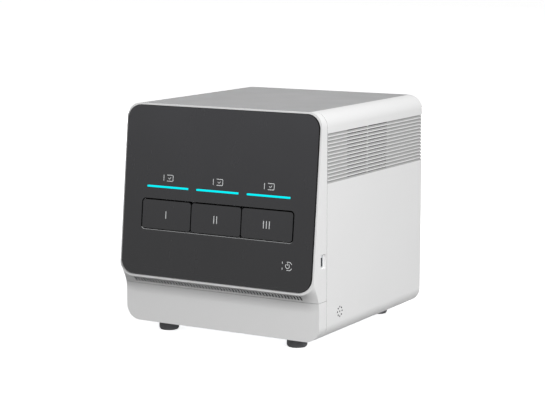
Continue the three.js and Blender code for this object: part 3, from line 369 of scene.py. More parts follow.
def softened(profile, radius, steps=3):
    """Rounds the inner corners of an open line of points. The first and last points stay."""
    soft_line = [profile[0]]
    for points in zip(profile, profile[1:], profile[2:]):
        before, here, after = (Vector(point) for point in points)
        into, out = (before - here), (after - here)
        reach = min(radius, into.length / LEAST_LEG, out.length / LEAST_LEG)
        start = here + into.normalized() * reach
        finish = here + out.normalized() * reach
        for step in range(steps + 1):
            share = step / steps
            soft_line.append(tuple(start.lerp(here, share).lerp(here.lerp(finish, share), share)))
    return [*soft_line, profile[-1]]


def inset(outline, by):
    """Moves every side of a closed outline inwards. The outline runs anticlockwise."""
    moved = []
    for i, point in enumerate(outline):
        here = Vector(point)
        before = (here - Vector(outline[i - 1])).normalized()
        after = (Vector(outline[(i + 1) % len(outline)]) - here).normalized()
        normal = Vector((-before.y - after.y, before.x + after.x))
        normal = normal / max(normal.dot(Vector((-before.y, before.x))), SLIVER)
        moved.append(tuple(here + normal * by))
    return moved


# Solids


def to_object(bm, name="shape"):
    mesh = bpy.data.meshes.new(name)
    bm.to_mesh(mesh)
    bm.free()
    made = bpy.data.objects.new(name, mesh)
    bpy.context.scene.collection.objects.link(made)
    return made


def discard(thing):
    mesh = thing.data
    bpy.data.objects.remove(thing)
    bpy.data.meshes.remove(mesh)


def loft(rings):
    """A closed solid through rings of points, with a flat face at each end."""
    bm = bmesh.new()
    layers = [[bm.verts.new(point) for point in ring] for ring in rings]
    number = len(rings[0])
    for low, high in zip(layers, layers[1:]):
        for i in range(number):
            j = (i + 1) % number
            bm.faces.new((low[i], low[j], high[j], high[i]))
    bm.faces.new(list(reversed(layers[0])))
    bm.faces.new(layers[-1])
    bmesh.ops.recalc_face_normals(bm, faces=bm.faces)
    return to_object(bm)


def in_plane(outline, axis, at):
    """Puts a flat outline across one axis."""
    if axis == "x":
        return [(at, u, v) for u, v in outline]
    if axis == "y":
        return [(u, at, v) for u, v in outline]
    return [(u, v, at) for u, v in outline]


def prism(outline, axis, start, end):
    return loft([in_plane(outline, axis, start), in_plane(outline, axis, end)])


def soft_prism(outline, axis, start, end, radius, steps=3):
    """A prism whose two end edges are rounded."""
    rings = []
    for i in range(steps + 1):
        turn = math.radians(90) * i / steps
        rings.append((start + radius * (1 - math.sin(turn)), radius * (1 - math.cos(turn))))
    rings = rings[::-1]
    rings += [(start + end - place, by) for place, by in reversed(rings)]
    return loft([in_plane(inset(outline, by), axis, place) for place, by in rings])


def block(low, high):
    outline = [(low[0], low[1]), (high[0], low[1]), (high[0], high[1]), (low[0], high[1])]
    return prism(outline, "z", low[2], high[2])


def beam(x, z, width, height, start, end):
    """A block along Y about a point of the X and Z plane."""
    return block((x - width / 2, start, z - height / 2), (x + width / 2, end, z + height / 2))


def turned(profile, axis, centre, steps=48):
    """A turned solid. The profile gives radius and place along the axis, and starts and ends on the axis."""
    bm = bmesh.new()
    layers = []
    for radius, along in profile:
        ring = circle(radius, centre, steps) if radius > SLIVER else [centre]
        layers.append([bm.verts.new(point) for point in in_plane(ring, axis, along)])
    for low, high in zip(layers, layers[1:]):
        for i in range(steps):
            j = (i + 1) % steps
            corners = [low[i % len(low)], low[j % len(low)], high[j % len(high)], high[i % len(high)]]
            face = list(dict.fromkeys(corners))
            if len(face) > 2:
                bm.faces.new(face)
    bmesh.ops.recalc_face_normals(bm, faces=bm.faces)
    return to_object(bm)


def rod(axis, radius, start, end, centre, steps=32, chamfer=0.0):
    """A round rod along one axis, with chamfered ends where a chamfer is given."""
    profile = [(0, start), (radius - chamfer, start)]
    if chamfer:
        profile += [(radius, start + chamfer), (radius, end - chamfer)]
    profile += [(radius - chamfer, end), (0, end)]
    return turned(profile, axis, centre, steps=steps)


def settle(thing):
    """Applies a shape's modifiers."""
    graph = bpy.context.evaluated_depsgraph_get()
    mesh = bpy.data.meshes.new_from_object(thing.evaluated_get(graph))
    old = thing.data
    thing.modifiers.clear()
    thing.data = mesh
    bpy.data.meshes.remove(old)
    return thing


def combine(body, tools, operation):
    for tool in tools:
        step = body.modifiers.new("shape", "BOOLEAN")
        step.operation = operation
        step.solver = "MANIFOLD"
        step.object = tool
    settle(body)
    for tool in tools:
        discard(tool)
    if not body.data.polygons:
        raise RuntimeError("a shape was lost while it was cut or joined")
    return body


def cut(body, *tools):
    return combine(body, tools, "DIFFERENCE")


def join(body, *tools):
    return combine(body, tools, "UNION")


def gather(body, *others):
    """Puts separate solids into one mesh."""
    bm = bmesh.new()
    for thing in (body, *others):
        bm.from_mesh(thing.data)
    bm.to_mesh(body.data)
    bm.free()
    for thing in others:
        discard(thing)
    return body


def mirrored(thing):
    """A mirror image across the machine's middle."""
    bm = bmesh.new()
    bm.from_mesh(thing.data)
    bmesh.ops.scale(bm, vec=(-1, 1, 1), verts=bm.verts)
    bmesh.ops.reverse_faces(bm, faces=bm.faces)
    return to_object(bm)


def round_edges(thing, width, chosen=None, segments=2, least=math.radians(35)):
    """Rounds the sharp edges, or those of them whose middle is chosen."""
    bm = bmesh.new()
    bm.from_mesh(thing.data)
    bmesh.ops.remove_doubles(bm, verts=bm.verts, dist=SLIVER)
    edges = []
    for edge in bm.edges:
        if len(edge.link_faces) != 2 or edge.calc_face_angle(0) < least:
            continue
        middle = (edge.verts[0].co + edge.verts[1].co) / 2
        if chosen is None or chosen(middle):
            edges.append(edge)
    bmesh.ops.bevel(
        bm, geom=edges, offset=width, offset_type="OFFSET", segments=segments, profile=0.5, affect="EDGES",
        clamp_overlap=True,
    )
    bm.to_mesh(thing.data)
    bm.free()
    return thing


def node_copy(node, width, chosen=None):
    """A copy of a carried piece with its faces made whole and its sharp edges softened."""
    bm = bmesh.new()
    bm.from_mesh(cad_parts[node].data)
    bmesh.ops.remove_doubles(bm, verts=bm.verts, dist=SLIVER)
    bmesh.ops.dissolve_limit(bm, angle_limit=math.radians(1), verts=bm.verts, edges=bm.edges)
    bm.transform(machine_to_frame.inverted())
    return round_edges(to_object(bm), width, chosen)


def flared(width, height, corner, centre, axis, mouth, floor, flare, steps):
    """A rounded cutter that widens by a chamfer at its mouth, which lies above its floor along the axis."""
    rings = []
    for grow, at in ((flare, mouth + OVERRUN), (flare, mouth), (0, mouth - flare), (0, floor)):
        outline = rounded(width + 2 * grow, height + 2 * grow, corner + grow, centre, steps)
        rings.append(in_plane(outline, axis, at))
    return loft(rings)


def screw_head(axis, toward, radius, centre=(0, 0), seat=0, steps=6):
    """A pan head with a cross recess, standing from its seat towards -1 or 1 along the axis."""
    height = radius * HEAD_SHARES["height"]
    rim = HEAD_SHARES["rim"]
    profile = [(0, seat), (radius, seat), (radius, seat + toward * height * rim)]
    for i in range(1, steps + 1):
        turn = math.radians(90) * i / steps
        profile.append((radius * math.cos(turn), seat + toward * height * (rim + (1 - rim) * math.sin(turn))))
    profile[-1] = (0, profile[-1][1])
    head = turned(profile, axis, centre, steps=32)
    floor = seat + toward * height * HEAD_SHARES["floor"]
    above = seat + toward * height + toward * radius
    arm, blade = radius * HEAD_SHARES["arm"], radius * HEAD_SHARES["blade"]
    cutters = []
    for wide, tall in ((arm, blade), (blade, arm)):
        mouth = rectangle(2 * wide, 2 * tall, centre)
        tip = rectangle(2 * wide * HEAD_SHARES["tip"], 2 * tall * HEAD_SHARES["tip"], centre)
        cutters.append(loft([in_plane(tip, axis, floor), in_plane(mouth, axis, above)]))
    return cut(head, *cutters)


# Finishing a piece


def paint_marked(thing, name, marks):
    """Gives the marked faces a further finish."""
    mesh = thing.data
    mesh.materials.append(finish(name))
    number = len(mesh.materials) - 1
    for mark, face in zip(marks, mesh.polygons):
        if mark:
            face.material_index = number


def paint_faces(thing, name, chosen):
    """Gives faces a further finish. They are chosen by their centre, in the machine's space, and normal."""
    to_machine = machine_to_frame.inverted()
    marks = [chosen(to_machine @ face.center, face.normal) for face in thing.data.polygons]
    paint_marked(thing, name, marks)


def paint_cuts(thing, name):
    """Gives the walls that a tree has cut a further finish."""
    paint_marked(thing, name, [mark.value for mark in thing.data.attributes["cut_wall"].data])


def dress(thing, name, finish_name, replaced=None, body="housing"):
    """Finishes a piece: shades it, names it, moves it into the frame, paints it and ties it to its body."""
    thing.data.shade_smooth()
    thing.data.set_sharp_from_angle(angle=math.radians(32))
    weights = thing.modifiers.new("normals", "WEIGHTED_NORMAL")
    weights.keep_sharp = True
    settle(thing)
    thing.name = name
    thing.data.name = name
    thing.data.transform(machine_to_frame)
    thing.data.materials.clear()
    thing.data.materials.append(finish(finish_name))
    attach(thing, body)
    if replaced:
        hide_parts(replaced)


def refined(node, name, width, finish_name, body="housing"):
    """Dresses a softened copy of a carried piece."""
    dress(node_copy(node, width), name, finish_name, node, body)


# Geometry node trees


def set_inputs(tree, node, inputs):
    """Sets a node's inputs, each to a value or to the socket that feeds it."""
    for key, value in inputs.items():
        if isinstance(value, bpy.types.NodeSocket):
            tree.links.new(value, node.inputs[key])
        else:
            node.inputs[key].default_value = value


def add_node(tree, kind, inputs, out=0, **settings):
    """Adds a node, sets its inputs and returns one of its outputs."""
    node = tree.nodes.new(kind)
    for key, value in settings.items():
        setattr(node, key, value)
    set_inputs(tree, node, inputs)
    return node.outputs[out] if node.outputs else None


def start_tree(name, *inputs):
    """An empty tree with a geometry input, the named inputs and a material input, and its inputs by name."""
    tree = bpy.data.node_groups.new(name, "GeometryNodeTree")
    for label, kind in (("Geometry", "Geometry"), *inputs, ("Material", "Material")):
        tree.interface.new_socket(label, in_out="INPUT", socket_type="NodeSocket" + kind)
    tree.interface.new_socket("Geometry", in_out="OUTPUT", socket_type="NodeSocketGeometry")
    return tree, tree.nodes.new("NodeGroupInput").outputs


def end_tree(tree, given, geometry):
    solid = add_node(tree, "GeometryNodeRealizeInstances", {"Geometry": geometry})
    painted = add_node(tree, "GeometryNodeSetMaterial", {"Geometry": solid, "Material": given["Material"]})
    add_node(tree, "NodeGroupOutput", {"Geometry": painted})
    return tree


def rows_of_points(tree, given):
    """A row of points, repeated along a second direction."""
    row = add_node(
        tree, "GeometryNodeMeshLine",
        {"Count": given["Count"], "Start Location": given["Start"], "Offset": given["Pitch"]},
    )
    rows = add_node(tree, "GeometryNodeMeshLine", {"Count": given["Rows"], "Offset": given["Row pitch"]})
    placed = add_node(tree, "GeometryNodeInstanceOnPoints", {"Points": rows, "Instance": row})
    return add_node(tree, "GeometryNodeRealizeInstances", {"Geometry": placed})


def round_cutter(tree, given):
    inputs = {"Vertices": given["Sides"], "Depth": given["Depth"]}
    inputs.update({"Radius Top": given["Top radius"], "Radius Bottom": given["Bottom radius"]})
    return add_node(tree, "GeometryNodeMeshCone", inputs)


def cutting_tree(tree, given, cutter, points):
    """Cuts a shape at every point and marks the cut walls."""
    inputs = {"Points": points, "Instance": cutter, "Rotation": given["Turn"]}
    placed = add_node(tree, "GeometryNodeInstanceOnPoints", inputs)
    solid = add_node(tree, "GeometryNodeRealizeInstances", {"Geometry": placed})
    inputs = {"Geometry": solid, "Name": "cut_wall"}
    marked = add_node(tree, "GeometryNodeStoreNamedAttribute", inputs, data_type="BOOLEAN", domain="FACE")
    values = [socket for socket in marked.node.inputs if socket.name == "Value" and socket.enabled]
    values[0].default_value = True
    inputs = {"Mesh 1": given["Geometry"], "Mesh 2": marked}
    cutting = add_node(
        tree, "GeometryNodeMeshBoolean", inputs, "Mesh", operation="DIFFERENCE", solver="MANIFOLD"
    )
    return end_tree(tree, given, cutting)


def slot_tree():
    """Cuts rows of straight slots."""
    tree, given = start_tree("slots", *ROW_INPUTS, ("Slot size", "Vector"))
    slot = add_node(tree, "GeometryNodeMeshCube", {"Size": given["Slot size"]}, "Mesh")
    return cutting_tree(tree, given, slot, rows_of_points(tree, given))


def hole_tree():
    """Cuts rows of round holes, wider at one end where the two radii differ."""
    tree, given = start_tree("holes", *ROW_INPUTS, *HOLE_INPUTS)
    return cutting_tree(tree, given, round_cutter(tree, given), rows_of_points(tree, given))


def hole_ring_tree():
    """Cuts a ring of round holes about a centre."""
    inputs = (("Count", "Int"), ("Ring radius", "Float"), ("Centre", "Vector"), ("Turn", "Vector"))
    tree, given = start_tree("ring of holes", *inputs, *HOLE_INPUTS)
    inputs = {"Vertices": given["Count"], "Radius": given["Ring radius"]}
    ring = add_node(tree, "GeometryNodeMeshCircle", inputs)
    inputs = {"Geometry": ring, "Translation": given["Centre"], "Rotation": given["Turn"]}
    points = add_node(tree, "GeometryNodeTransform", inputs)
    return cutting_tree(tree, given, round_cutter(tree, given), points)


def copying_tree(tree, given, points, turn):
    """Puts a copy of one object at every point, beside what is there."""
    source = add_node(
        tree, "GeometryNodeObjectInfo", {"Object": given["Object"]}, "Geometry", transform_space="ORIGINAL"
    )
    placed = add_node(
        tree, "GeometryNodeInstanceOnPoints", {"Points": points, "Instance": source, "Rotation": turn}
    )
    both = tree.nodes.new("GeometryNodeJoinGeometry")
    tree.links.new(placed, both.inputs[0])
    tree.links.new(given["Geometry"], both.inputs[0])
    return end_tree(tree, given, both.outputs[0])


def copies_tree():
    """Rows of copies of one object."""
    tree, given = start_tree("copies", *ROW_INPUTS, ("Object", "Object"))
    return copying_tree(tree, given, rows_of_points(tree, given), given["Turn"])


def ring_tree():
    """Copies of one object, turned about the Y axis through the origin."""
    tree, given = start_tree("ring of copies", ("Count", "Int"), ("Object", "Object"))
    points = add_node(tree, "GeometryNodeMeshLine", {"Count": given["Count"], "Offset": (0, 0, 0)})
    index = add_node(tree, "GeometryNodeInputIndex", {})
    share = add_node(tree, "ShaderNodeMath", {0: index, 1: given["Count"]}, operation="DIVIDE")
    turn = add_node(tree, "ShaderNodeMath", {0: share, 1: 2 * math.pi}, operation="MULTIPLY")
    return copying_tree(tree, given, points, add_node(tree, "ShaderNodeCombineXYZ", {"Y": turn}))


def run_tree(thing, maker, **values):
    """Runs a tree on a shape with its inputs set by name."""
    name = maker.__name__
    tree = bpy.data.node_groups.get(name) or maker()
    tree.name = name
    step = thing.modifiers.new(name, "NODES")
    step.node_group = tree
    known = {item.name: item.identifier for item in tree.interface.items_tree if item.in_out == "INPUT"}
    for key, value in {"Rows": 1, **values}.items():
        label = key.replace("_", " ")
        if label in known:
            step[known[label]] = finish(value) if label == "Material" else value
    settle(thing)
    if not thing.data.polygons:
        raise RuntimeError(f"{name} left nothing of the shape")


def pattern(source, start, number, pitch, rows, row_pitch):
    """Rows of copies of a shape, which is used up."""
    made = to_object(bmesh.new())
    run_tree(made, copies_tree, Count=number, Pitch=pitch, Rows=rows, Row_pitch=row_pitch, Start=start,
             Object=source, Material="plated_steel")
    discard(source)
    return made


# Finishes


def tones_of(name, *factors):
    """A colour of the finishes, made darker or paler by each factor."""
    colour = getattr(bpy.context.scene.pcr_finish, name)
    return [(*(min(1, value * factor) for value in colour), 1.0) for factor in factors]


def object_space(tree, scale=(1, 1, 1)):
    place = add_node(tree, "ShaderNodeTexCoord", {}, "Object")
    return add_node(tree, "ShaderNodeMapping", {"Vector": place, "Scale": scale})


def noise(tree, vector, size, detail=2.0, rough=0.5):
    """Noise whose features are about the given size in metres."""
    inputs = {"Vector": vector, "Scale": 1 / size, "Detail": detail, "Roughness": rough}
    return add_node(tree, "ShaderNodeTexNoise", inputs, "Fac")


def between(tree, factor, low, high):
    """Spreads the middle of a noise over two values."""
    least, most = NOISE_SPAN
    inputs = {"Value": factor, "From Min": least, "From Max": most, "To Min": low, "To Max": high}
    return add_node(tree, "ShaderNodeMapRange", inputs, "Result")


def mixed(tree, factor, low, high):
    """Two colours, or colour sockets, mixed by a factor."""
    return add_node(tree, "ShaderNodeMix", {0: factor, 6: low, 7: high}, 2, data_type="RGBA")


def relief(tree, height, depth):
    return add_node(tree, "ShaderNodeBump", {"Height": height, "Distance": depth, "Strength": 1.0}, "Normal")


def grained(tree, colour, rough, grain, depth, tint=0.02, patch=0.05, spread_by=0.04, stretch=(1, 1, 1),
            metallic=0.0, specular=0.5):
    """A finish with fine relief, slow changes of tone and uneven gloss."""
    fine = noise(tree, object_space(tree, stretch), grain, detail=3.0)
    slow = noise(tree, object_space(tree), patch)
    low, high = tones_of(colour, 1 - tint, 1 + tint)
    return {
        "Base Color": mixed(tree, between(tree, fine, 0.0, 0.5), mixed(tree, slow, low, high), low),
        "Roughness": between(tree, slow, rough - spread_by, rough + spread_by),
        "Normal": relief(tree, fine, depth),
        "Metallic": metallic,
        "Specular IOR Level": specular,
    }


def smoked_glass(tree, low, high, haze, patch, wipe, stretch, gloss, specular):
    """Black-backed glass, lighter towards its top as a painted reflection, with faint wiping marks in its
    gloss.
    """
    rise = add_node(tree, "ShaderNodeSeparateXYZ", {0: object_space(tree)}, "Z")
    inputs = {"Value": rise, "From Min": underside_z, "From Max": cad_box[1].z}
    height = add_node(tree, "ShaderNodeMapRange", inputs, "Result")
    dark, pale, plain = tones_of("glass", low, high, 1.0)
    deep = noise(tree, object_space(tree), patch, detail=1.0)
    wiped = noise(tree, object_space(tree, stretch), wipe, detail=4.0, rough=0.6)
    return {
        # The base colour's rise from dark to pale with height is a painted reflection.
        "Base Color": mixed(tree, between(tree, deep, 0.0, haze), mixed(tree, height, dark, pale), plain),
        "Roughness": between(tree, wiped, *gloss),
        "Specular IOR Level": specular,
    }


def lit_guide(tree, unlit, lit, patch, rough, specular):
    """A lit light guide with a faintly uneven glow."""
    cloudy = noise(tree, object_space(tree), patch, detail=1.0)
    return {
        "Base Color": mixed(tree, cloudy, *tones_of("light", *unlit)),
        "Emission Color": mixed(tree, cloudy, *tones_of("light", *lit)),
        "Emission Strength": 1.0,
        "Roughness": rough,
        "Specular IOR Level": specular,
    }


def solder_resist(tree, bright, edge, dull, mottle, width, run, pitch, bias, depth, patch, gloss):
    """Solder resist over fine tracks."""
    plain, bright, edge, dull = tones_of("board", 1.0, bright, edge, dull)
    inputs = {"Vector": object_space(tree), "Color1": plain, "Color2": bright, "Mortar": edge, "Scale": 1.0,
              "Mortar Size": width, "Brick Width": run, "Row Height": pitch, "Bias": bias}
    tracks = add_node(tree, "ShaderNodeTexBrick", inputs).node.outputs
    slow = noise(tree, object_space(tree), patch)
    return {
        "Base Color": mixed(tree, between(tree, slow, 0.0, mottle), tracks["Color"], dull),
        "Normal": relief(tree, tracks["Fac"], depth),
        "Roughness": between(tree, slow, *gloss),
    }


# Each finish: the record's slot, its maker and the maker's values, with lengths in metres.
FINISHES = {
    "moulded_white": ("white_shell", grained, dict(
        colour="white", rough=0.44, grain=0.0006, depth=0.000006, tint=0.006, patch=0.08, specular=0.3)),
    "painted_grey": ("grey_cover", grained, dict(
        colour="grey", rough=0.5, grain=0.0011, depth=0.000012, tint=0.012, patch=0.05, specular=0.3)),
    # Grey for the louvres' grooves, as painted shade.
    "louvre_grey": ("white_shell", grained, dict(
        colour="groove", rough=0.6, grain=0.0006, depth=0.000006, tint=0.02, patch=0.03, specular=0.3)),
    "filter_fleece": ("black_plastic", grained, dict(
        colour="fleece", rough=0.95, grain=0.0009, depth=0.00015, tint=0.2, patch=0.006, specular=0.1)),
    "front_black": ("black_glass", smoked_glass, dict(
        low=0.3, high=3.0, haze=0.2, patch=0.09, wipe=0.03, stretch=(1, 1, 0.35), gloss=(0.22, 0.29),
        specular=0.38)),
    "cut_glass_edge": ("black_glass", grained, dict(
        colour="glass_edge", rough=0.5, grain=0.0008, depth=0.000004, tint=0.2, patch=0.01, specular=0.15)),
    "ground_glass_edge": ("black_glass", grained, dict(
        colour="ground_edge", rough=0.5, grain=0.0005, depth=0.000004, tint=0.06, patch=0.01, specular=0.4)),
    "cyan_glow": ("status_light", lit_guide, dict(
        unlit=(0.04, 0.07), lit=(0.93, 1.0), patch=0.012, rough=0.4, specular=0.05)),
    "printed_ink": ("status_light", grained, dict(
        colour="ink", rough=0.5, grain=0.0003, depth=0.000003, tint=0.03, patch=0.004)),
    "foot_rubber": ("rubber_foot", grained, dict(
        colour="rubber", rough=0.72, grain=0.0005, depth=0.00002, tint=0.10, patch=0.006, spread_by=0.08,
        specular=0.35)),
    "plated_steel": ("sheet_steel", grained, dict(
        colour="steel", rough=0.36, grain=0.0009, depth=0.000004, tint=0.06, patch=0.02, spread_by=0.07,
        stretch=(1, 0.06, 1), metallic=0.9)),
    "machined_aluminium": ("aluminium", grained, dict(
        colour="aluminium", rough=0.30, grain=0.0004, depth=0.000004, tint=0.04, patch=0.01, spread_by=0.06,
        stretch=(0.05, 1, 1), metallic=0.95)),
    # Black moulding, whose colour is also painted shade on the walls of slots, holes and seams.
    "black_moulding": ("black_plastic", grained, dict(
        colour="plastic", rough=0.52, grain=0.0004, depth=0.00001, tint=0.08, patch=0.01)),
    "motor_paint": ("motor_steel", grained, dict(
        colour="motor", rough=0.34, grain=0.0016, depth=0.000008, tint=0.10, patch=0.008)),
    "circuit_green": ("circuit_board", solder_resist, dict(
        bright=1.25, edge=1.9, dull=0.8, mottle=0.35, width=0.0002, run=0.011, pitch=0.0024, bias=-0.2,
        depth=0.00003, patch=0.01, gloss=(0.30, 0.42))),
    "white_ceramic": ("ceramic", grained, dict(
        colour="ceramic", rough=0.55, grain=0.0007, depth=0.000008, tint=0.03, patch=0.004)),
    "cut_brass": ("brass", grained, dict(
        colour="brass", rough=0.30, grain=0.0005, depth=0.000005, tint=0.10, patch=0.003, spread_by=0.08,
        stretch=(0.1, 1, 1), metallic=0.95)),
}


def finish(name):
    """A finish's material, made the first time that it is asked for."""
    made = bpy.data.materials.get(name)
    if not made:
        made = bpy.data.materials.new(name)
        made.use_nodes = True
        tree = made.node_tree
        _, maker, values = FINISHES[name]
        set_inputs(tree, tree.nodes["Principled BSDF"], maker(tree, **values))
    return made


# Stage


def panel_matrix():
    panel = bpy.context.scene.pcr_panel
    return Matrix.Translation((0, -panel.reach, panel.rise)) @ Matrix.Rotation(-panel.tilt, 4, "X")


def leaning(thing):
    """Puts a shape that was drawn on the upright panel into its leaning place."""
    thing.data.transform(panel_matrix())
    return thing


def shown_rays(tree):
    """A factor of 1 for what the camera, a gloss or a clear surface sees, and 0 for the lighting."""
    path = tree.nodes.new("ShaderNodeLightPath").outputs
    seen = {0: path["Is Camera Ray"], 1: path["Is Glossy Ray"]}
    seen = {0: add_node(tree, "ShaderNodeMath", seen, operation="MAXIMUM"), 1: path["Is Transmission Ray"]}
    return add_node(tree, "ShaderNodeMath", seen, operation="MAXIMUM")


def white_world(strength):
    world = bpy.data.worlds.new("white_room")
    bpy.context.scene.world = world
    world.use_nodes = True
    tree = world.node_tree
    tree.nodes.clear()
    lighting, seen = (
        add_node(tree, "ShaderNodeBackground", {"Color": (1, 1, 1, 1), "Strength": level})
        for level in (strength, 1.0)
    )
    mixer = add_node(tree, "ShaderNodeMixShader", {0: shown_rays(tree), 1: lighting, 2: seen})
    add_node(tree, "ShaderNodeOutputWorld", {"Surface": mixer})


def floor_white(stage):
    """White floor that keeps the shadow. Its lift is only seen, and the object is lit by its bench tone."""
    material = bpy.data.materials.new("floor_white")
    material.use_nodes = True
    tree = material.node_tree
    tree.nodes.clear()
    shown = shown_rays(tree)
    seen, lighting = (
        add_node(tree, "ShaderNodeBsdfDiffuse", {"Color": (tone, tone, tone, 1)})
        for tone in (stage.paper, stage.bench)
    )
    paper = add_node(tree, "ShaderNodeMixShader", {0: shown, 1: lighting, 2: seen})
    strength = add_node(tree, "ShaderNodeMath", {0: shown, 1: stage.lift}, operation="MULTIPLY")
    glow = add_node(tree, "ShaderNodeEmission", {"Color": (1, 1, 1, 1), "Strength": strength})
    both = add_node(tree, "ShaderNodeAddShader", {0: paper, 1: glow})
    add_node(tree, "ShaderNodeOutputMaterial", {"Surface": both})
    return material


def floor_and_backdrop(half, steps=16):
    """A floor that curves up into a backdrop behind the machine."""
    bend = half / 5
    profile = [(-half, 0.0)]
    for i in range(steps + 1):
        turn = math.radians(90) * i / steps
        profile.append((half - bend + bend * math.sin(turn), bend - bend * math.cos(turn)))
    profile.append((half, half / 2))
    bm = bmesh.new()
    rows = [[bm.verts.new((side * half, y, z)) for y, z in profile] for side in SIDES]
    for i in range(len(profile) - 1):
        bm.faces.new((rows[0][i], rows[1][i], rows[1][i + 1], rows[0][i + 1]))
    floor = to_object(bm, "floor")
    floor.data.shade_smooth()
    return floor


def direction(turn, rise):
    """The way to something that stands to the right of the front by a turn, and above it by a rise."""
    return Vector((math.sin(turn) * math.cos(rise), -math.cos(turn) * math.cos(rise), math.sin(rise)))


def area_lamp(name, power, size, place, target):
    light = bpy.data.lights.new(name, "AREA")
    light.shape = "SQUARE"
    light.size = size
    light.energy = power
    lamp = bpy.data.objects.new(name, light)
    bpy.context.scene.collection.objects.link(lamp)
    lamp.location = place
    lamp.rotation_euler = (Vector(target) - Vector(place)).to_track_quat("-Z", "Y").to_euler()
    lamp.visible_camera = False
    lamp.visible_glossy = False


class PCR_OT_stage(bpy.types.Operator):
    """Set up the camera, the white floor and the soft lamps"""

    bl_idname = "pcr.stage"
    bl_label = "Stage"

    def execute(self, context):
        stage = context.scene.pcr_stage
        camera = bpy.data.objects.new("camera", bpy.data.cameras.new("camera"))
        context.scene.collection.objects.link(camera)
        context.scene.camera = camera
        camera.data.lens = stage.lens
        camera.data.sensor_width = stage.sensor
        camera.data.clip_start = stage.clip_near
        camera.data.clip_end = stage.clip_far
        camera.location = (stage.camera_x, -stage.camera_y, stage.camera_z)
        back = direction(stage.azimuth, stage.elevation)
        camera.rotation_euler = (-back).to_track_quat("-Z", "Y").to_euler()
        floor = floor_and_backdrop(stage.floor)
        floor.data.materials.append(floor_white(stage))
        white_world(stage.ambient)
        middle = (cad_box[0] + cad_box[1]) / 2
        lamps = (("key_lamp", stage.key_power, direction(stage.key_turn, stage.key_rise)),
                 ("back_lamp", stage.back_power, direction(stage.back_turn, stage.back_rise)),
                 ("top_lamp", stage.top_power, Vector((0, 0, 1))))
        for name, power, toward in lamps:
            area_lamp(name, power, stage.key_size, middle + toward * stage.key_reach, middle)
        context.scene.view_settings.view_transform = "Standard"
        return {"FINISHED"}


# Front housing


def lip_point():
    shell, panel, _ = sizes()
    return panel_matrix() @ Vector((0, panel.proud, -shell.lip_rim))


def scoop_centre():
    shell = bpy.context.scene.pcr_shell
    lip = lip_point()
    y = -shell.lower_reach - shell.scoop
    return y, lip.z - math.sqrt(shell.scoop**2 - (lip.y - y) ** 2)


def scoop_cutter(grow, arc_steps=20, corner_steps=24):
    """Everything before the scoop and the lower front face, swept round the lip's corners."""
    shell = bpy.context.scene.pcr_shell
    lip = lip_point()
    y0, z0 = scoop_centre()
    far = shell.height
    radius = shell.scoop + grow
    corner_x = shell.width / 2 - shell.lip_corner
    corner_z = lip.z + shell.lip_corner
    top = math.asin((lip.z + grow - z0) / radius)
    scoop = []
    for i in range(arc_steps + 1):
        turn = top * (1 - i / arc_steps)
        scoop.append((corner_z - z0 - radius * math.sin(turn), y0 + radius * math.cos(turn)))
    profile = [(scoop[0][0], -far), *scoop, (far, -shell.lower_reach + grow), (far, -far)]
    rings = []
    for side in SIDES:
        for i in range(corner_steps + 1):
            turn = math.radians(90) * i / corner_steps
            across, up = math.sin(turn), -math.cos(turn)
            if side < 0:
                across, up = up, -across
            rings.append([(side * corner_x + across * r, y, corner_z + up * r) for r, y in profile])
    return loft(rings)


def front_form(wall, face, rear):
    """The front housing's outer form, or its inside where a wall is given."""
    shell = bpy.context.scene.pcr_shell
    outline = rounded(
        shell.width - 2 * wall, shell.height - 2 * wall, shell.edge - wall, (0, shell.height / 2), steps=20
    )
    body = prism(outline, "y", -shell.width, rear)
    far = 2 * shell.height
    ahead = leaning(block((-far, -far, -far), (far, face, far)))
    return cut(body, ahead, scoop_cutter(wall))


def inner_depth():
    """Depth of the housing's inside behind the glass, from the glass's front."""
    shell, panel, _ = sizes()
    return panel.thickness + CLEARANCE + shell.front_wall


def glass_outline(grow=0.0):
    panel = bpy.context.scene.pcr_panel
    centre = (0, panel.length / 2)
    return rounded(panel.width + 2 * grow, panel.length + 2 * grow, panel.corner + grow, centre, steps=20)


def aperture():
    panel = bpy.context.scene.pcr_panel
    pitch = panel.drawer_width + panel.drawer_gap
    width = 2 * pitch + panel.drawer_width + 2 * panel.drawer_gap
    outline = rounded(
        width, panel.drawer_height + 2 * panel.drawer_gap, panel.drawer_corner + panel.drawer_gap,
        (0, panel.drawer_centre), steps=8,
    )
    return prism(outline, "y", -panel.reach - OVERRUN, 0)


def light_slots(start, end):
    panel = bpy.context.scene.pcr_panel
    half = panel.light_length / 2 + CLEARANCE
    rise = panel.light_height / 2 + CLEARANCE
    slots = []
    for x in station_centre.values():
        low, high = panel.light_rise - rise, panel.light_rise + rise
        slots.append(leaning(block((x - half, start, low), (x + half, end, high))))
    return slots


def recess_cutter():
    shell, _, grille = sizes()
    half = shell.width / 2
    centre = (-grille.socket_forward, grille.socket_height)
    return flared(grille.recess_depth, grille.recess_height, grille.recess_corner, centre, "x", half,
                  half - grille.recess_floor, grille.recess_flare, steps=8)


def on_front(point):
    """True for a point on the plane of the rim round the glass."""
    depth = (panel_matrix().inverted() @ point).y
    return abs(depth - bpy.context.scene.pcr_panel.proud) < CLEARANCE


def housing_part(above):
    """The shell of the upper or the lower front moulding."""
    shell, panel, _ = sizes()
    far = shell.width
    rear = -CLEARANCE / 2
    outer = front_form(0, panel.proud, rear)
    edge = shell.parting + (CLEARANCE if above else 0)
    low, high = (-OVERRUN, edge) if above else (edge, shell.height + OVERRUN)
    cut(outer, block((-far, -far, low), (far, OVERRUN, high)))
    if above:
        round_edges(outer, shell.rim_round, on_front, segments=4)
    round_edges(outer, shell.seam_round, lambda p: p.y > rear - TOUCH or abs(p.z - edge) < TOUCH)
    return cut(outer, front_form(shell.front_wall, inner_depth(), OVERRUN))


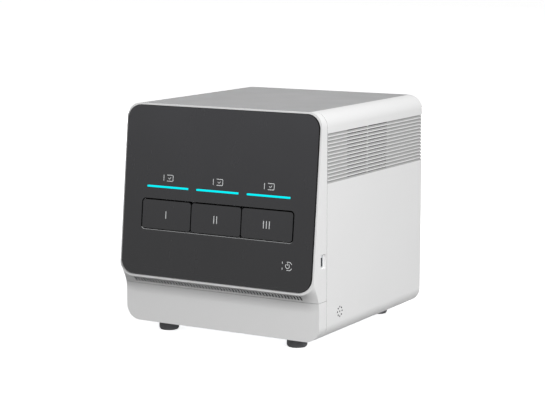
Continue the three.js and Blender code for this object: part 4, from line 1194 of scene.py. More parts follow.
def in_seam(place, normal):
    """True for the flat walls of a seam, which lie in shade and get a black finish as painted shade."""
    across = abs(place.y) < 3 * CLEARANCE and abs(normal.y) > FACING
    above = place.z - bpy.context.scene.pcr_shell.parting
    along = abs(above) < 2 * CLEARANCE and abs(normal.z) > FACING
    return across or along


class PCR_OT_front_bezel(bpy.types.Operator):
    """Build the upper front moulding with its rim, scoop, air slots and socket recess"""

    bl_idname = "pcr.front_bezel"
    bl_label = "Front bezel"

    def execute(self, context):
        shell, panel, grille = sizes()
        half = shell.width / 2
        fillet = half - shell.edge
        body = housing_part(above=True)
        cover_under = shell.height - shell.sheet - CLEARANCE
        ledge = block(
            (-fillet - shell.ledge_margin, -shell.ledge_depth, cover_under - shell.ledge_thickness),
            (fillet + shell.ledge_margin, -CLEARANCE / 2, cover_under),
        )
        reach = grille.recess_depth / 2 + grille.boss_margin
        rise = grille.recess_height / 2 + grille.boss_margin
        boss = block(
            (half - grille.recess_floor - grille.boss_thickness, -grille.socket_forward - reach,
             grille.socket_height - rise),
            (half - shell.front_wall / 2, -grille.socket_forward + reach, grille.socket_height + rise),
        )
        join(body, ledge, boss)
        seat = leaning(prism(glass_outline(CLEARANCE), "y", -OVERRUN, panel.thickness + CLEARANCE))
        setback = machine_box("top_cover")[0].y - CLEARANCE
        pocket = block((-fillet - CLEARANCE / 2, setback, cover_under),
                       (fillet + CLEARANCE / 2, OVERRUN, shell.height + OVERRUN))
        port_low, port_high = machine_box("usb_port")
        slot = block((port_low.x - OVERRUN, port_low.y - CLEARANCE, port_low.z - CLEARANCE),
                     (half, port_high.y + CLEARANCE, port_high.z + CLEARANCE))
        lights = light_slots(-OVERRUN, inner_depth() + OVERRUN)
        cut(body, seat, pocket, aperture(), recess_cutter(), slot, *lights)
        y0, z0 = scoop_centre()
        y = y0 + shell.scoop * math.cos(grille.slot_angle)
        z = z0 + shell.scoop * math.sin(grille.slot_angle)
        row = grille.pitch * (grille.slots - 1)
        run_tree(
            body, slot_tree, Count=grille.slots, Pitch=(grille.pitch, 0, 0), Start=(-row / 2, y, z),
            Turn=(grille.slot_angle, 0, 0),
            Slot_size=(grille.slot_width, 2 * (shell.front_wall + OVERRUN), grille.slot_length),
            Material="moulded_white",
        )
        dress(body, "bezel_shell", "moulded_white", "front_bezel")
        # The cut walls of the air slots are painted black as painted shade.
        paint_cuts(body, "black_moulding")
        # The seam's walls are painted black as painted shade.
        paint_faces(body, "black_moulding", in_seam)
        return {"FINISHED"}


class PCR_OT_front_skirt(bpy.types.Operator):
    """Build the lower front moulding"""

    bl_idname = "pcr.front_skirt"
    bl_label = "Front skirt"

    def execute(self, context):
        shell = context.scene.pcr_shell
        body = housing_part(above=False)
        plate_low, plate_high = machine_box("base_plate")
        notch = block((plate_low.x - CLEARANCE, plate_low.y - CLEARANCE, -OVERRUN),
                      (plate_high.x + CLEARANCE, OVERRUN, shell.front_wall + OVERRUN))
        cut(body, notch)
        dress(body, "skirt_shell", "moulded_white", "front_skirt")
        # The seam's walls are painted black as painted shade.
        paint_faces(body, "black_moulding", in_seam)
        return {"FINISHED"}


# Front glass, lights, drawer fronts and printed marks


def near_face(point):
    """True for a point on the glass's front face."""
    return (panel_matrix().inverted() @ point).y < CLEARANCE


def off_front(place, normal):
    """True for a face that doesn't look straight to the front."""
    return normal.y > -FACING


# How far the painted highlight on the glass's edge under the drawers at least looks up and to the front, as
# shares of its normal
EDGE_UP = 0.4
EDGE_OUT = 0.2


class PCR_OT_front_glass(bpy.types.Operator):
    """Build the black front glass with its openings and polished edges, and a painted highlight on the edge
    under the drawers
    """

    bl_idname = "pcr.front_glass"
    bl_label = "Front glass"

    def execute(self, context):
        panel = context.scene.pcr_panel
        plate = leaning(prism(glass_outline(), "y", 0, panel.thickness))
        cut(plate, aperture())
        round_edges(plate, panel.bevel, near_face, segments=3)
        cut(plate, *light_slots(-OVERRUN, panel.thickness + OVERRUN))
        dress(plate, "glass_plate", "front_black", "front_glass")
        paint_faces(plate, "cut_glass_edge", off_front)
        low = panel.drawer_centre - panel.drawer_height / 2 - panel.drawer_gap

        def lower_edge(place, normal):
            leans = normal.z > EDGE_UP and normal.y < -EDGE_OUT
            return leans and abs(place.z - low) < 2 * panel.bevel

        # The lower edge of the opening is painted light grey as a painted highlight.
        paint_faces(plate, "ground_glass_edge", lower_edge)
        return {"FINISHED"}


class PCR_OT_light_bars(bpy.types.Operator):
    """Build the three lit light guides"""

    bl_idname = "pcr.light_bars"
    bl_label = "Light bars"

    def execute(self, context):
        panel = context.scene.pcr_panel
        for number, x in station_centre.items():
            centre = (x, panel.light_rise)
            outline = rounded(panel.light_length, panel.light_height, CLEARANCE, centre, steps=4)
            guide = leaning(prism(outline, "y", 0, inner_depth()))
            round_edges(guide, CLEARANCE / 2, near_face)
            dress(guide, f"light_guide_{number}", "cyan_glow", f"light_bar_{number}")
        return {"FINISHED"}


class PCR_OT_drawer_fronts(bpy.types.Operator):
    """Build the three drawer fronts"""

    bl_idname = "pcr.drawer_fronts"
    bl_label = "Drawer fronts"

    def execute(self, context):
        panel = context.scene.pcr_panel
        far = panel.width
        for number, x in station_centre.items():
            centre = (x, panel.drawer_centre)
            outline = rounded(panel.drawer_width, panel.drawer_height, panel.drawer_corner, centre, steps=10)
            front = prism(outline, "y", -panel.reach - OVERRUN, 0)
            slab = leaning(block((-far, 0, -far), (far, panel.drawer_thickness, far)))
            combine(front, [slab], "INTERSECT")
            round_edges(front, panel.bevel / 2, near_face, segments=3)
            dress(front, f"drawer_face_{number}", "front_black", f"drawer_front_{number}",
                  f"drawer_{number}")
            paint_faces(front, "cut_glass_edge", off_front)
        return {"FINISHED"}


def stroke(points, width):
    """A flat closed outline along a line of points, in the panel's plane."""
    left, right = [], []
    for i, (x, z) in enumerate(points):
        ahead = points[min(i + 1, len(points) - 1)]
        behind = points[max(i - 1, 0)]
        run = Vector((ahead[0] - behind[0], ahead[1] - behind[1])).normalized() * width / 2
        left.append((x - run.y, z + run.x))
        right.append((x + run.y, z - run.x))
    return left + right[::-1]


def print_marks(name, lines, width, body="housing"):
    """Prints lines on the glass as thin ink."""
    mark = leaning(gather(*(prism(stroke(points, width), "y", -INK, INK) for points in lines)))
    dress(mark, name, "printed_ink", body=body)


# Places in the printed symbols: the left end of the drawer key's frame, its tick's points and the start key's
# ring as shares of half the symbol's width and height, the ring's radius, the pin and the brackets as shares
# of the symbol's corner, and the ring's ends in degrees
TRAY_REACH = 0.3
TICK = ((-0.05, 0.1), (0.2, -0.35), (0.55, 0.3))
RING_SHIFT = 0.1
RING_RADIUS = 1.1
RING_ENDS = (125, 415)
PIN_RISES = (0.3, 1.5)
BRACKET_REACH = 0.4


class PCR_OT_marks(bpy.types.Operator):
    """Print the drawer numerals and plain key symbols"""

    bl_idname = "pcr.marks"
    bl_label = "Printed marks"

    stroke_width: length("Stroke", "Width of a numeral's stroke", 0.0011)
    fine_width: length("Fine stroke", "Width of a symbol's line", 0.0009)
    numeral_height: length("Numeral height", "Height of the drawer numerals", 0.0100)
    numeral_pitch: length("Numeral pitch", "Distance between strokes", 0.0044)
    numeral_shift: length("Numeral shift", "How far the numerals stand left of centre", 0.0006)
    key_width: length("Key width", "Width of a drawer key's symbol", 0.0146)
    key_height: length("Key height", "Height of a drawer key's symbol", 0.0080)
    key_rise: length("Key rise", "Distance from a light to its key symbol", 0.0124)
    key_shift: length("Key shift", "How far the key symbols stand right of centre", 0.0008)
    button_width: length("Button width", "Width of the start key's symbol", 0.0140)
    button_height: length("Button height", "Height of the start key's symbol", 0.0106)
    button_inset: length("Button inset", "The start key's distance from the glass's right edge", 0.0362)
    button_rise: length("Button rise", "The start key's place up the slope", 0.0327)

    def drawer_key(self, x, z):
        """A plain frame, open at its left, with a tick in it and a bar before it."""
        wide, tall = self.key_width / 2, self.key_height / 2
        corner = tall / 3
        left = x - wide * TRAY_REACH
        right = x + wide - corner
        tray = [(left, z + tall), (right, z + tall)]
        tray += arc((right, z + tall - corner), corner, 90, 0, steps=4)
        tray += arc((right, z - tall + corner), corner, 0, -90, steps=4)
        tray += [(right, z - tall), (left, z - tall)]
        bar = [(x - wide, z + tall), (x - wide, z - tall)]
        return [tray, bar, [(x + wide * across, z + tall * up) for across, up in TICK]]

    def start_key(self, x, z):
        """A ring with a stroke through its top, between two corner brackets and a bar."""
        wide, tall = self.button_width / 2, self.button_height / 2
        corner = tall / 2
        middle = x + wide * RING_SHIFT
        lines = [arc((middle, z), corner * RING_RADIUS, *RING_ENDS, 20)]
        lines.append([(middle, z + corner * rise) for rise in PIN_RISES])
        edge = x + wide
        start = middle - corner * BRACKET_REACH
        for side in reversed(SIDES):
            up, bend = z + side * tall, z + side * corner
            lines.append([(start, up), (edge - corner, up), (edge, bend)])
        lines += [[(x - wide, z + side * corner), (x - wide, z + side * tall)] for side in SIDES]
        return lines

    def execute(self, context):
        panel = context.scene.pcr_panel
        centre_rise = (panel.drawer_centre - panel.rise) / math.cos(panel.tilt)
        half = self.numeral_height / 2
        for number, x in station_centre.items():
            middle = x - self.numeral_shift
            bars = [
                [(middle + shift, centre_rise - half), (middle + shift, centre_rise + half)]
                for shift in spread(number, self.numeral_pitch)
            ]
            print_marks(f"numeral_{number}", bars, self.stroke_width, f"drawer_{number}")
            lines = self.drawer_key(x + self.key_shift, panel.light_rise + self.key_rise)
            print_marks(f"key_symbol_{number}", lines, self.fine_width)
        lines = self.start_key(panel.width / 2 - self.button_inset, self.button_rise)
        print_marks("start_symbol", lines, self.fine_width)
        return {"FINISHED"}


# Data socket


class PCR_OT_usb_port(bpy.types.Operator):
    """Build the data socket with its steel shell, tongue and contacts"""

    bl_idname = "pcr.usb_port"
    bl_label = "Data socket"

    mouth_width: length("Mouth width", "Inner width of the steel shell", 0.0052)
    mouth_height: length("Mouth height", "Inner height of the steel shell", 0.0116)
    mouth_drop: length("Mouth drop", "How far the mouth lies below the flange's middle", 0.0006)
    shell_wall: length("Shell wall", "Wall of the steel shell", 0.0004)
    shell_corner: length("Shell corner", "Corner radius of the shell", 0.0008)
    lip: length("Lip", "Thickness of the flange round the mouth", 0.0006)
    tongue: length("Tongue", "Thickness of the tongue", 0.0018)
    contacts: count("Contacts", "Contacts on the tongue", 4)
    contact_pitch: length("Contact pitch", "Distance between contacts", 0.0024)
    contact_width: length("Contact width", "Width of a contact", 0.0011)

    def execute(self, context):
        low, high = machine_box("usb_port")
        y, middle_z = flat_middle(low, high, "yz")
        z = middle_z - self.mouth_drop
        wide, tall, corner, wall = self.mouth_width, self.mouth_height, self.shell_corner, self.shell_wall
        outline = rounded(wide + 2 * wall, tall + 2 * wall, corner + wall, (y, z), steps=6)
        shell = prism(outline, "x", low.x, high.x - self.lip / 2)
        outline = box_outline(low, high, "yz", corner, steps=6)
        join(shell, soft_prism(outline, "x", high.x - self.lip, high.x, self.lip / 4))
        cut(shell, flared(wide, tall, corner, (y, z), "x", high.x, low.x + wall, self.lip / 3, steps=6))
        dress(shell, "socket_shell", "plated_steel", "usb_port")
        reach = high.x - 2 * self.lip
        side = y + (self.mouth_width - self.tongue) / 2 - self.shell_wall
        rise = self.mouth_height / 2 - 2 * self.shell_wall
        tongue = block((low.x, side - self.tongue / 2, z - rise), (reach, side + self.tongue / 2, z + rise))
        round_edges(tongue, self.lip / 4)
        dress(tongue, "socket_tongue", "black_moulding")
        face = side - self.tongue / 2
        strips = []
        for place in spread(self.contacts, self.contact_pitch):
            strips.append(block(
                (low.x + 2 * self.shell_wall, face - self.lip / 4, z + place - self.contact_width / 2),
                (reach - self.lip, face + self.lip / 4, z + place + self.contact_width / 2),
            ))
        dress(gather(*strips), "socket_contacts", "cut_brass")
        return {"FINISHED"}


# Casing


def cover_line(wall=0.0, steps=20):
    """The right side of the body's section, or of its inside where a wall is given."""
    shell = bpy.context.scene.pcr_shell
    x = shell.width / 2 - shell.edge
    radius = shell.edge - wall
    lower = arc((x, shell.edge), radius, -90, 0, steps=steps)
    return lower + arc((x, shell.height - shell.edge), radius, 0, 90, steps=steps)


def louvre_cutters():
    """Cutters for the saw-tooth louvres, one below the other."""
    shell, _, grille = sizes()
    half = shell.width / 2
    top = grille.louvre_top
    deep = half - grille.louvre_depth
    foot = top - grille.louvre_fall
    outline = [(deep, top), (deep, top - grille.louvre_hook), (half, foot), (half + OVERRUN, foot),
               (half + OVERRUN, top)]
    cutter, source = (prism(outline, "y", -OVERRUN, casing_rear + OVERRUN) for _ in range(2))
    step = (0, 0, -grille.louvre_pitch)
    run_tree(cutter, copies_tree, Count=grille.louvres - 1, Pitch=step, Start=step, Object=source,
             Material="moulded_white")
    discard(source)
    return cutter


def right_cover():
    """The right cover without its speaker holes."""
    shell, _, grille = sizes()
    half = shell.width / 2
    side_x = half - shell.edge + CLEARANCE / 2
    front = CLEARANCE / 2 + shell.seam_gap
    outline = [(side_x, 0.0), *cover_line()[1:-1], (side_x, shell.height)]
    body = soft_prism(outline, "y", front, casing_rear, shell.seam_round)
    open_x = side_x - OVERRUN
    outline = [(open_x, shell.wall), *cover_line(shell.wall), (open_x, shell.height - shell.wall)]
    inside = prism(outline, "y", -OVERRUN, casing_rear + OVERRUN)
    cut(body, inside, louvre_cutters())
    flange_low = machine_box("side_cover_right")[0]
    rear = machine_box("rear_panel")[0].y - CLEARANCE
    for z in (shell.sheet + CLEARANCE, shell.height - shell.sheet - CLEARANCE - shell.flange):
        reach = half - shell.edge + shell.flange_lap
        join(body, block((flange_low.x, front, z), (reach, rear, z + shell.flange)))
    middle = (grille.window_start + grille.window_end) / 2
    window = middle - grille.window_rib / 2 - grille.window_start
    outer = half - grille.louvre_depth + CLEARANCE
    deep = shell.wall
    place = (outer - deep / 2, grille.window_start + window / 2, grille.louvre_top - grille.window_height / 2)
    run_tree(
        body, slot_tree, Count=grille.louvres, Pitch=(0, 0, -grille.louvre_pitch), Rows=2,
        Row_pitch=(0, window + grille.window_rib, 0), Start=place,
        Slot_size=(deep, window, grille.window_height), Material="moulded_white",
    )
    return body


def in_groove(place, normal):
    """True for the faces of a louvre's groove, between a cover's outer face and the groove's full depth."""
    shell, _, grille = sizes()
    sunk = shell.width / 2 - abs(place.x)
    lowest = grille.louvre_top - grille.louvres * grille.louvre_pitch
    inside = lowest < place.z < grille.louvre_top + SLIVER
    return inside and SLIVER < sunk < grille.louvre_depth + SLIVER and abs(normal.y) < 0.5


class PCR_OT_side_covers(bpy.types.Operator):
    """Build the two side covers with their louvres, and the speaker holes in the right one"""

    bl_idname = "pcr.side_covers"
    bl_label = "Side covers"

    def in_hole(self, place, normal):
        """True for the wall of a speaker hole, away from the cover's own faces and edges."""
        grille = bpy.context.scene.pcr_grille
        away = math.hypot(place.y - grille.speaker_back, place.z - grille.speaker_height)
        return away < 2 * grille.speaker_ring and abs(normal.x) < 1 - FACING

    def execute(self, context):
        shell, _, grille = sizes()
        right = right_cover()
        left = mirrored(right)
        dress(left, "left_cover", "moulded_white", "side_cover_left")
        # The louvres' grooves are painted grey as painted shade.
        paint_faces(left, "louvre_grey", in_groove)
        # The seam's walls are painted black as painted shade.
        paint_faces(left, "black_moulding", in_seam)
        radius = grille.speaker_hole
        place = (shell.width / 2 - shell.wall / 2, grille.speaker_back, grille.speaker_height)
        hole = dict(Sides=20, Turn=(0, math.radians(90), 0), Top_radius=radius, Bottom_radius=radius,
                    Depth=2 * shell.wall, Material="moulded_white")
        run_tree(right, hole_tree, Count=1, Start=place, **hole)
        ring = dict(Count=grille.speaker_holes, Ring_radius=grille.speaker_ring, Centre=place)
        run_tree(right, hole_ring_tree, **ring, **hole)
        dress(right, "right_cover", "moulded_white", "side_cover_right")
        # The louvres' grooves are painted grey as painted shade.
        paint_faces(right, "louvre_grey", in_groove)
        # The walls of the speaker holes are painted black as painted shade.
        paint_faces(right, "black_moulding", self.in_hole)
        # The seam's walls are painted black as painted shade.
        paint_faces(right, "black_moulding", in_seam)
        return {"FINISHED"}


class PCR_OT_louvre_filters(bpy.types.Operator):
    """Build the pleated dust filters behind the openings of the side covers"""

    bl_idname = "pcr.louvre_filters"
    bl_label = "Louvre filters"

    pleats: count("Pleats", "Pleats in a filter", 24)
    depth: length("Pleat depth", "Depth of a pleat", 0.0045)
    fleece: length("Fleece", "Thickness of the filter's fleece", 0.0007)
    margin: length("Margin", "How far a filter passes the openings", 0.003)

    def execute(self, context):
        shell, _, grille = sizes()
        near = shell.width / 2 - shell.wall - CLEARANCE
        start = grille.window_start - self.margin
        run = grille.window_end + self.margin - start
        folds = 2 * self.pleats
        face = [(near - self.depth * (i % 2), start + run * i / folds) for i in range(folds + 1)]
        back = [(x - self.fleece, y) for x, y in face]
        lowest = grille.louvre_top - (grille.louvres - 1) * grille.louvre_pitch
        lowest -= grille.window_height + self.margin
        right = prism(face + back[::-1], "z", lowest, grille.louvre_top + self.margin)
        for side, thing in (("left", mirrored(right)), ("right", right)):
            dress(thing, f"louvre_filter_{side}", "filter_fleece")
        return {"FINISHED"}


class PCR_OT_top_cover(bpy.types.Operator):
    """Build the grey top cover"""

    bl_idname = "pcr.top_cover"
    bl_label = "Top cover"

    def execute(self, context):
        low, high = machine_box("top_cover")
        outline = box_outline(low, high, "xy", CLEARANCE * 2, steps=4)
        plate = soft_prism(outline, "z", low.z, high.z, context.scene.pcr_shell.seam_round)
        dress(plate, "top_sheet", "painted_grey", "top_cover")
        return {"FINISHED"}


class PCR_OT_feet(bpy.types.Operator):
    """Build the four rubber feet with their sunk screws"""

    bl_idname = "pcr.feet"
    bl_label = "Feet"

    tip_radius: length("Tip radius", "Radius of the face that stands on the bench", 0.0121)
    chamfer: length("Chamfer", "Height of the chamfer above that face", 0.0024)
    soft: length("Soft edge", "Rounding of the foot's edges", 0.0008)
    bore: length("Bore", "Radius of the hole over the screw", 0.0042)
    bore_depth: length("Bore depth", "Depth of that hole", 0.0085)
    screw: length("Screw", "Radius of a screw head", 0.00357)

    def execute(self, context):
        for node in ("foot_front_left", "foot_front_right", "foot_rear_left", "foot_rear_right"):
            low, high = machine_box(node)
            centre = flat_middle(low, high, "xy")
            radius = (high.x - low.x) / 2
            ceiling = low.z + self.bore_depth
            outside = [(self.tip_radius, low.z), (radius, low.z + self.chamfer), (radius, high.z)]
            inside = [(0, ceiling), (self.bore, ceiling), (self.bore, low.z)]
            foot = turned(softened([*inside, *outside, (0, high.z)], self.soft), "z", centre, steps=64)
            dress(foot, f"{node}_rubber", "foot_rubber", node)
            screw = screw_head("z", -1, self.screw, centre, ceiling)
            dress(screw, f"{node}_screw", "plated_steel")
        return {"FINISHED"}


# Rear panel


def middle_of(node):
    low, high = machine_box(node)
    return (low + high) / 2


# Corner radius of a vent slot as a share of its height
VENT_CORNER = 0.48


class PCR_OT_rear_panel(bpy.types.Operator):
    """Build the rear panel with its round field of vent slots, its socket openings and its screws"""

    bl_idname = "pcr.rear_panel"
    bl_label = "Rear panel"

    vent_radius: length("Vent radius", "Radius of the round field of slots", 0.052)
    vent_rows: count("Vent rows", "Rows of slots", 15)
    vent_pitch: length("Vent pitch", "Distance between rows", 0.0072)
    vent_height: length("Vent height", "Height of a slot", 0.0034)
    flare: length("Flare", "Chamfer round each slot and opening", 0.0003)
    soft: length("Soft edge", "Rounding of the panel's edge", 0.0004)
    screw: length("Screw", "Radius of a screw head", 0.0031)
    fan_screws: length("Fan screws", "Distance between the fan's screws", 0.105)
    corner_inset: length("Corner inset", "Place of the corner screws from the panel's edges", 0.0125)

    def vent_cutter(self, fan, z, mouth, floor):
        edge = abs(z) + self.vent_height / 2
        width = 2 * math.sqrt(max(0.0, self.vent_radius ** 2 - edge ** 2)) + self.vent_height
        return flared(width, self.vent_height, VENT_CORNER * self.vent_height, (fan.x, fan.z + z), "y", mouth,
                      floor, self.flare, steps=5)

    def opening(self, node, lip, mouth, floor):
        low, high = machine_box(node)
        gap = 2 * (CLEARANCE - lip)
        middle = flat_middle(low, high, "xz")
        return flared(high.x - low.x + gap, high.z - low.z + gap, self.soft, middle, "y", mouth, floor,
                      self.flare, steps=5)

    def execute(self, context):
        shell = context.scene.pcr_shell
        low, high = machine_box("rear_panel")
        fan = middle_of("fan_frame")
        corner = shell.edge - shell.wall - CLEARANCE
        outline = rounded(high.x - low.x, high.z - low.z, corner, (0, (low.z + high.z) / 2))
        plate = soft_prism(outline, "y", low.y, high.y, self.soft)
        floor = low.y - OVERRUN
        vents = [self.vent_cutter(fan, z, high.y, floor) for z in spread(self.vent_rows, self.vent_pitch)]
        vents.append(self.opening("power_inlet", context.scene.pcr_rear.inlet_lip, high.y, floor))
        vents.append(self.opening("lan_port", 0, high.y, floor))
        cut(plate, gather(*vents))
        dress(plate, "rear_sheet", "moulded_white", "rear_panel")
        head = screw_head("y", 1, self.screw)
        fan_start = (fan.x - self.fan_screws / 2, high.y, fan.z - self.fan_screws / 2)
        near_fan = pattern(head, fan_start, 2, (self.fan_screws, 0, 0), 2, (0, 0, self.fan_screws))
        head = screw_head("y", 1, self.screw)
        corner_start = (low.x + self.corner_inset, high.y, low.z + self.corner_inset)
        across = high.x - low.x - 2 * self.corner_inset
        upright = (high.z - low.z - 2 * self.corner_inset) / 2
        round_edge = pattern(head, corner_start, 2, (across, 0, 0), 3, (0, 0, upright))
        dress(gather(near_fan, round_edge), "rear_screws", "plated_steel")
        return {"FINISHED"}


# Rear fan


# A blade's bow and the width of its blunt edges, as shares of its width
BOW = 0.07
BLUNT = 0.03


class PCR_OT_rear_fan(bpy.types.Operator):
    """Build the fan's frame with its stator, and its rotor with twisted blades"""

    bl_idname = "pcr.rear_fan"
    bl_label = "Rear fan"

    bore: length("Bore", "Radius of the frame's bore", 0.058)
    corner: length("Corner", "Corner radius of the frame", 0.006)
    bell: length("Bell", "Flare of the bore's two mouths", 0.0012)
    soft: length("Soft edge", "Rounding of the frame's edges", 0.0006)
    hole: length("Hole", "Radius of a mounting hole", 0.0022)
    hole_pitch: length("Hole pitch", "Distance between the mounting holes", 0.105)
    hub: length("Hub", "Radius of the hub", 0.019)
    stator: length("Stator", "Thickness of the stator and its arms", 0.004)
    arm: length("Arm", "Width of a stator arm", 0.005)
    shaft: length("Shaft", "Radius of the rotor's shaft", 0.003)
    shaft_length: length("Shaft length", "How far the shaft runs into the stator", 0.003)
    blades: count("Blades", "Blades on the rotor", 7)
    root_chord: length("Root chord", "Width of a blade at the hub", 0.018)
    tip_chord: length("Tip chord", "Width of a blade at its tip", 0.023)
    root_pitch: angle("Root pitch", "Angle between the blade and the shaft at the hub", 34)
    tip_pitch: angle("Tip pitch", "Angle between the blade and the shaft at the tip", 52)
    blade_thickness: length("Blade thickness", "Greatest thickness of a blade", 0.0018)
    sweep: angle("Sweep", "How far a blade's tip leads its root", 16)
    rings: count("Blade sections", "Sections along a blade", 9)

    def frame_solid(self, low, high, fan):
        middle = (fan.x, fan.z)
        side = high.x - low.x
        mouth = self.bore + self.bell
        body = soft_prism(rounded(side, side, self.corner, middle, steps=6), "y", low.y, high.y, self.soft)
        profile = [(0, low.y - OVERRUN), (mouth, low.y - OVERRUN), (mouth, low.y)]
        profile += [(self.bore, low.y + 2 * self.bell), (self.bore, high.y - 2 * self.bell)]
        profile += [(mouth, high.y), (mouth, high.y + OVERRUN), (0, high.y + OVERRUN)]
        cut(body, turned(profile, "y", middle, steps=96))
        start = (fan.x - self.hole_pitch / 2, high.y + OVERRUN, fan.z - self.hole_pitch / 2)
        pitch = self.hole_pitch
        run_tree(
            body, hole_tree, Count=2, Pitch=(pitch, 0, 0), Rows=2, Row_pitch=(0, 0, pitch), Start=start,
            Turn=(math.radians(90), 0, 0), Sides=24, Top_radius=self.hole, Bottom_radius=self.hole,
            Depth=high.y - low.y + 2 * OVERRUN, Material="black_moulding",
        )
        span = self.bore + side / 2
        inner = high.y - self.stator
        arms = [
            round_edges(beam(*middle, wide, tall, inner, high.y), self.soft)
            for wide, tall in ((span, self.arm), (self.arm, span))
        ]
        hub = rod("y", self.hub, inner, high.y, middle, steps=64, chamfer=self.soft)
        join(body, hub, *arms)
        return cut(body, rod("y", self.shaft + CLEARANCE, inner - OVERRUN, high.y - self.soft, middle))

    def blade(self, low_y, high_y):
        """One blade, standing up from the shaft at the origin."""
        inner = self.hub - OVERRUN
        outer = self.bore - OVERRUN
        sections = []
        for i in range(self.rings + 1):
            share = i / self.rings
            radius = inner + (outer - inner) * share
            chord = self.root_chord + (self.tip_chord - self.root_chord) * share
            pitch = self.root_pitch + (self.tip_pitch - self.root_pitch) * share
            lead = self.sweep * share ** 2
            sections.append(self.section(radius, chord, pitch, lead, (low_y + high_y) / 2))
        return loft(sections)

    def section(self, radius, chord, pitch, lead, middle_y, steps=10):
        """A closed blade section, bent round the shaft at one radius."""
        ring = []
        for side in SIDES:
            for i in range(steps):
                share = i / steps if side < 0 else 1 - i / steps
                full = math.sin(math.pi * min(max(share, BLUNT), 1 - BLUNT))
                half = self.blade_thickness / 2 * math.sqrt(full)
                along = (share - 0.5) * chord
                across = BOW * chord * math.sin(math.pi * share) + side * half
                x = along * math.sin(pitch) + across * math.cos(pitch)
                y = along * math.cos(pitch) - across * math.sin(pitch)
                turn = x / radius + lead
                ring.append((radius * math.sin(turn), middle_y + y, radius * math.cos(turn)))
        return ring

    def rotor_solid(self, low, high, fan):
        rear = high.y - self.shaft_length
        soft = 3 * self.soft
        profile = [(0, low.y), (self.hub - soft, low.y), (self.hub, low.y + soft)]
        profile += [(self.hub, rear - self.soft), (self.hub - self.soft, rear), (0, rear)]
        hub = turned(softened(profile, self.soft), "y", (0, 0), steps=64)
        shaft = rod("y", self.shaft, rear - OVERRUN, high.y, (0, 0))
        source = self.blade(low.y, rear)
        blades = to_object(bmesh.new())
        run_tree(blades, ring_tree, Count=self.blades, Object=source, Material="black_moulding")
        discard(source)
        join(hub, shaft, blades)
        hub.data.transform(Matrix.Translation((fan.x, 0, fan.z)))
        return hub

    def execute(self, context):
        low, high = machine_box("fan_frame")
        fan = (low + high) / 2
        body = self.frame_solid(low, high, fan)
        dress(body, "fan_housing", "black_moulding", "fan_frame")
        low, high = machine_box("fan_rotor")
        rotor = self.rotor_solid(low, high, fan)
        dress(rotor, "fan_blades", "black_moulding", "fan_rotor", "rotor")
        return {"FINISHED"}


# Power inlet and its switch


# Ends of the ring on the rocker in degrees, a hair's breadth apart
OPEN_RING = (-89.5, 269.5)


class PCR_OT_power_inlet(bpy.types.Operator):
    """Build the power inlet with its pins, and the rocker with its two marks"""

    bl_idname = "pcr.power_inlet"
    bl_label = "Power inlet"

    soft: length("Soft edge", "Rounding of the flange", 0.0006)
    mark: length("Mark", "Height of a mark on the rocker", 0.0042)
    mark_width: length("Mark width", "Width of a mark's stroke", 0.0007)

    def mouth(self, centre, face):
        rear = bpy.context.scene.pcr_rear
        half = rear.mouth_width / 2
        tall = rear.mouth_height / 2
        slant = rear.mouth_cut
        corners = [(0, -tall), (half, -tall), (half, tall - slant), (half - slant, tall),
                   (slant - half, tall), (-half, tall - slant), (-half, -tall), (0, -tall)]
        outline = softened(corners, self.soft * 2)[:-1]
        placed = [(centre.x + x, centre.z - rear.mouth_drop + z) for x, z in outline]
        return prism(placed, "y", face - rear.mouth_depth, face + OVERRUN)

    def execute(self, context):
        rear = context.scene.pcr_rear
        low, high = machine_box("power_inlet")
        centre = (low + high) / 2
        face = high.y
        panel = face - rear.inlet_flange
        floor = face - rear.mouth_depth
        rise = centre.z + rear.rocker_rise
        body = block((low.x + rear.inlet_lip, low.y, low.z + rear.inlet_lip),
                     (high.x - rear.inlet_lip, panel + rear.inlet_flange / 2, high.z - rear.inlet_lip))
        round_edges(body, self.soft)
        outline = box_outline(low, high, "xz", 4 * self.soft, steps=6)
        join(body, soft_prism(outline, "y", panel + CLEARANCE, face, self.soft))
        pocket = beam(centre.x, rise, rear.pocket_width, rear.pocket_height, face - rear.pocket_depth,
                      face + OVERRUN)
        cut(body, self.mouth(centre, face), pocket)
        dress(body, "inlet_body", "black_moulding", "power_inlet")
        pins = []
        for place, lift in ((-1, -1), (0, 1), (1, -1)):
            x = centre.x + place * rear.pin_spread
            z = centre.z - rear.mouth_drop + lift * rear.pin_offset
            pin = beam(x, z, rear.pin_width, rear.pin_height, floor - CLEARANCE, floor + rear.pin_length)
            pins.append(round_edges(pin, self.soft / 2))
        dress(gather(*pins), "inlet_pins", "plated_steel")
        place = Matrix.Translation((centre.x, panel - rear.rocker_back, rise))
        self.rocker(rear, place @ Matrix.Rotation(-rear.rocker_tilt, 4, "X"))
        return {"FINISHED"}

    def rocker(self, rear, placed):
        half = rear.rocker_half
        thick = rear.rocker_thick
        corners = [(-thick, 0), (-thick, -half), (thick, -half), (thick - rear.rocker_dip, 0), (thick, half),
                   (-thick, half), (-thick, 0)]
        outline = softened(corners, 3 * self.soft / 2)[:-1]
        wide = rear.rocker_width / 2
        body = soft_prism(outline, "x", -wide, wide, self.soft / 2)
        body.data.transform(placed)
        dress(body, "rocker_body", "black_moulding", "power_rocker", "rocker")
        slope = math.atan2(rear.rocker_dip, half)
        ring = arc((0, 0), (self.mark - self.mark_width) / 2, *OPEN_RING, 40)
        outlines = ((1, rectangle(self.mark_width, self.mark)), (-1, stroke(ring, self.mark_width)))
        marks = []
        for side, outline in outlines:
            mark = prism(outline, "y", -INK, INK)
            spot = Matrix.Translation((0, thick - rear.rocker_dip / 2, side * half / 2))
            mark.data.transform(placed @ spot @ Matrix.Rotation(-side * slope, 4, "X"))
            marks.append(mark)
        dress(gather(*marks), "rocker_marks", "printed_ink", body="rocker")


# Network socket


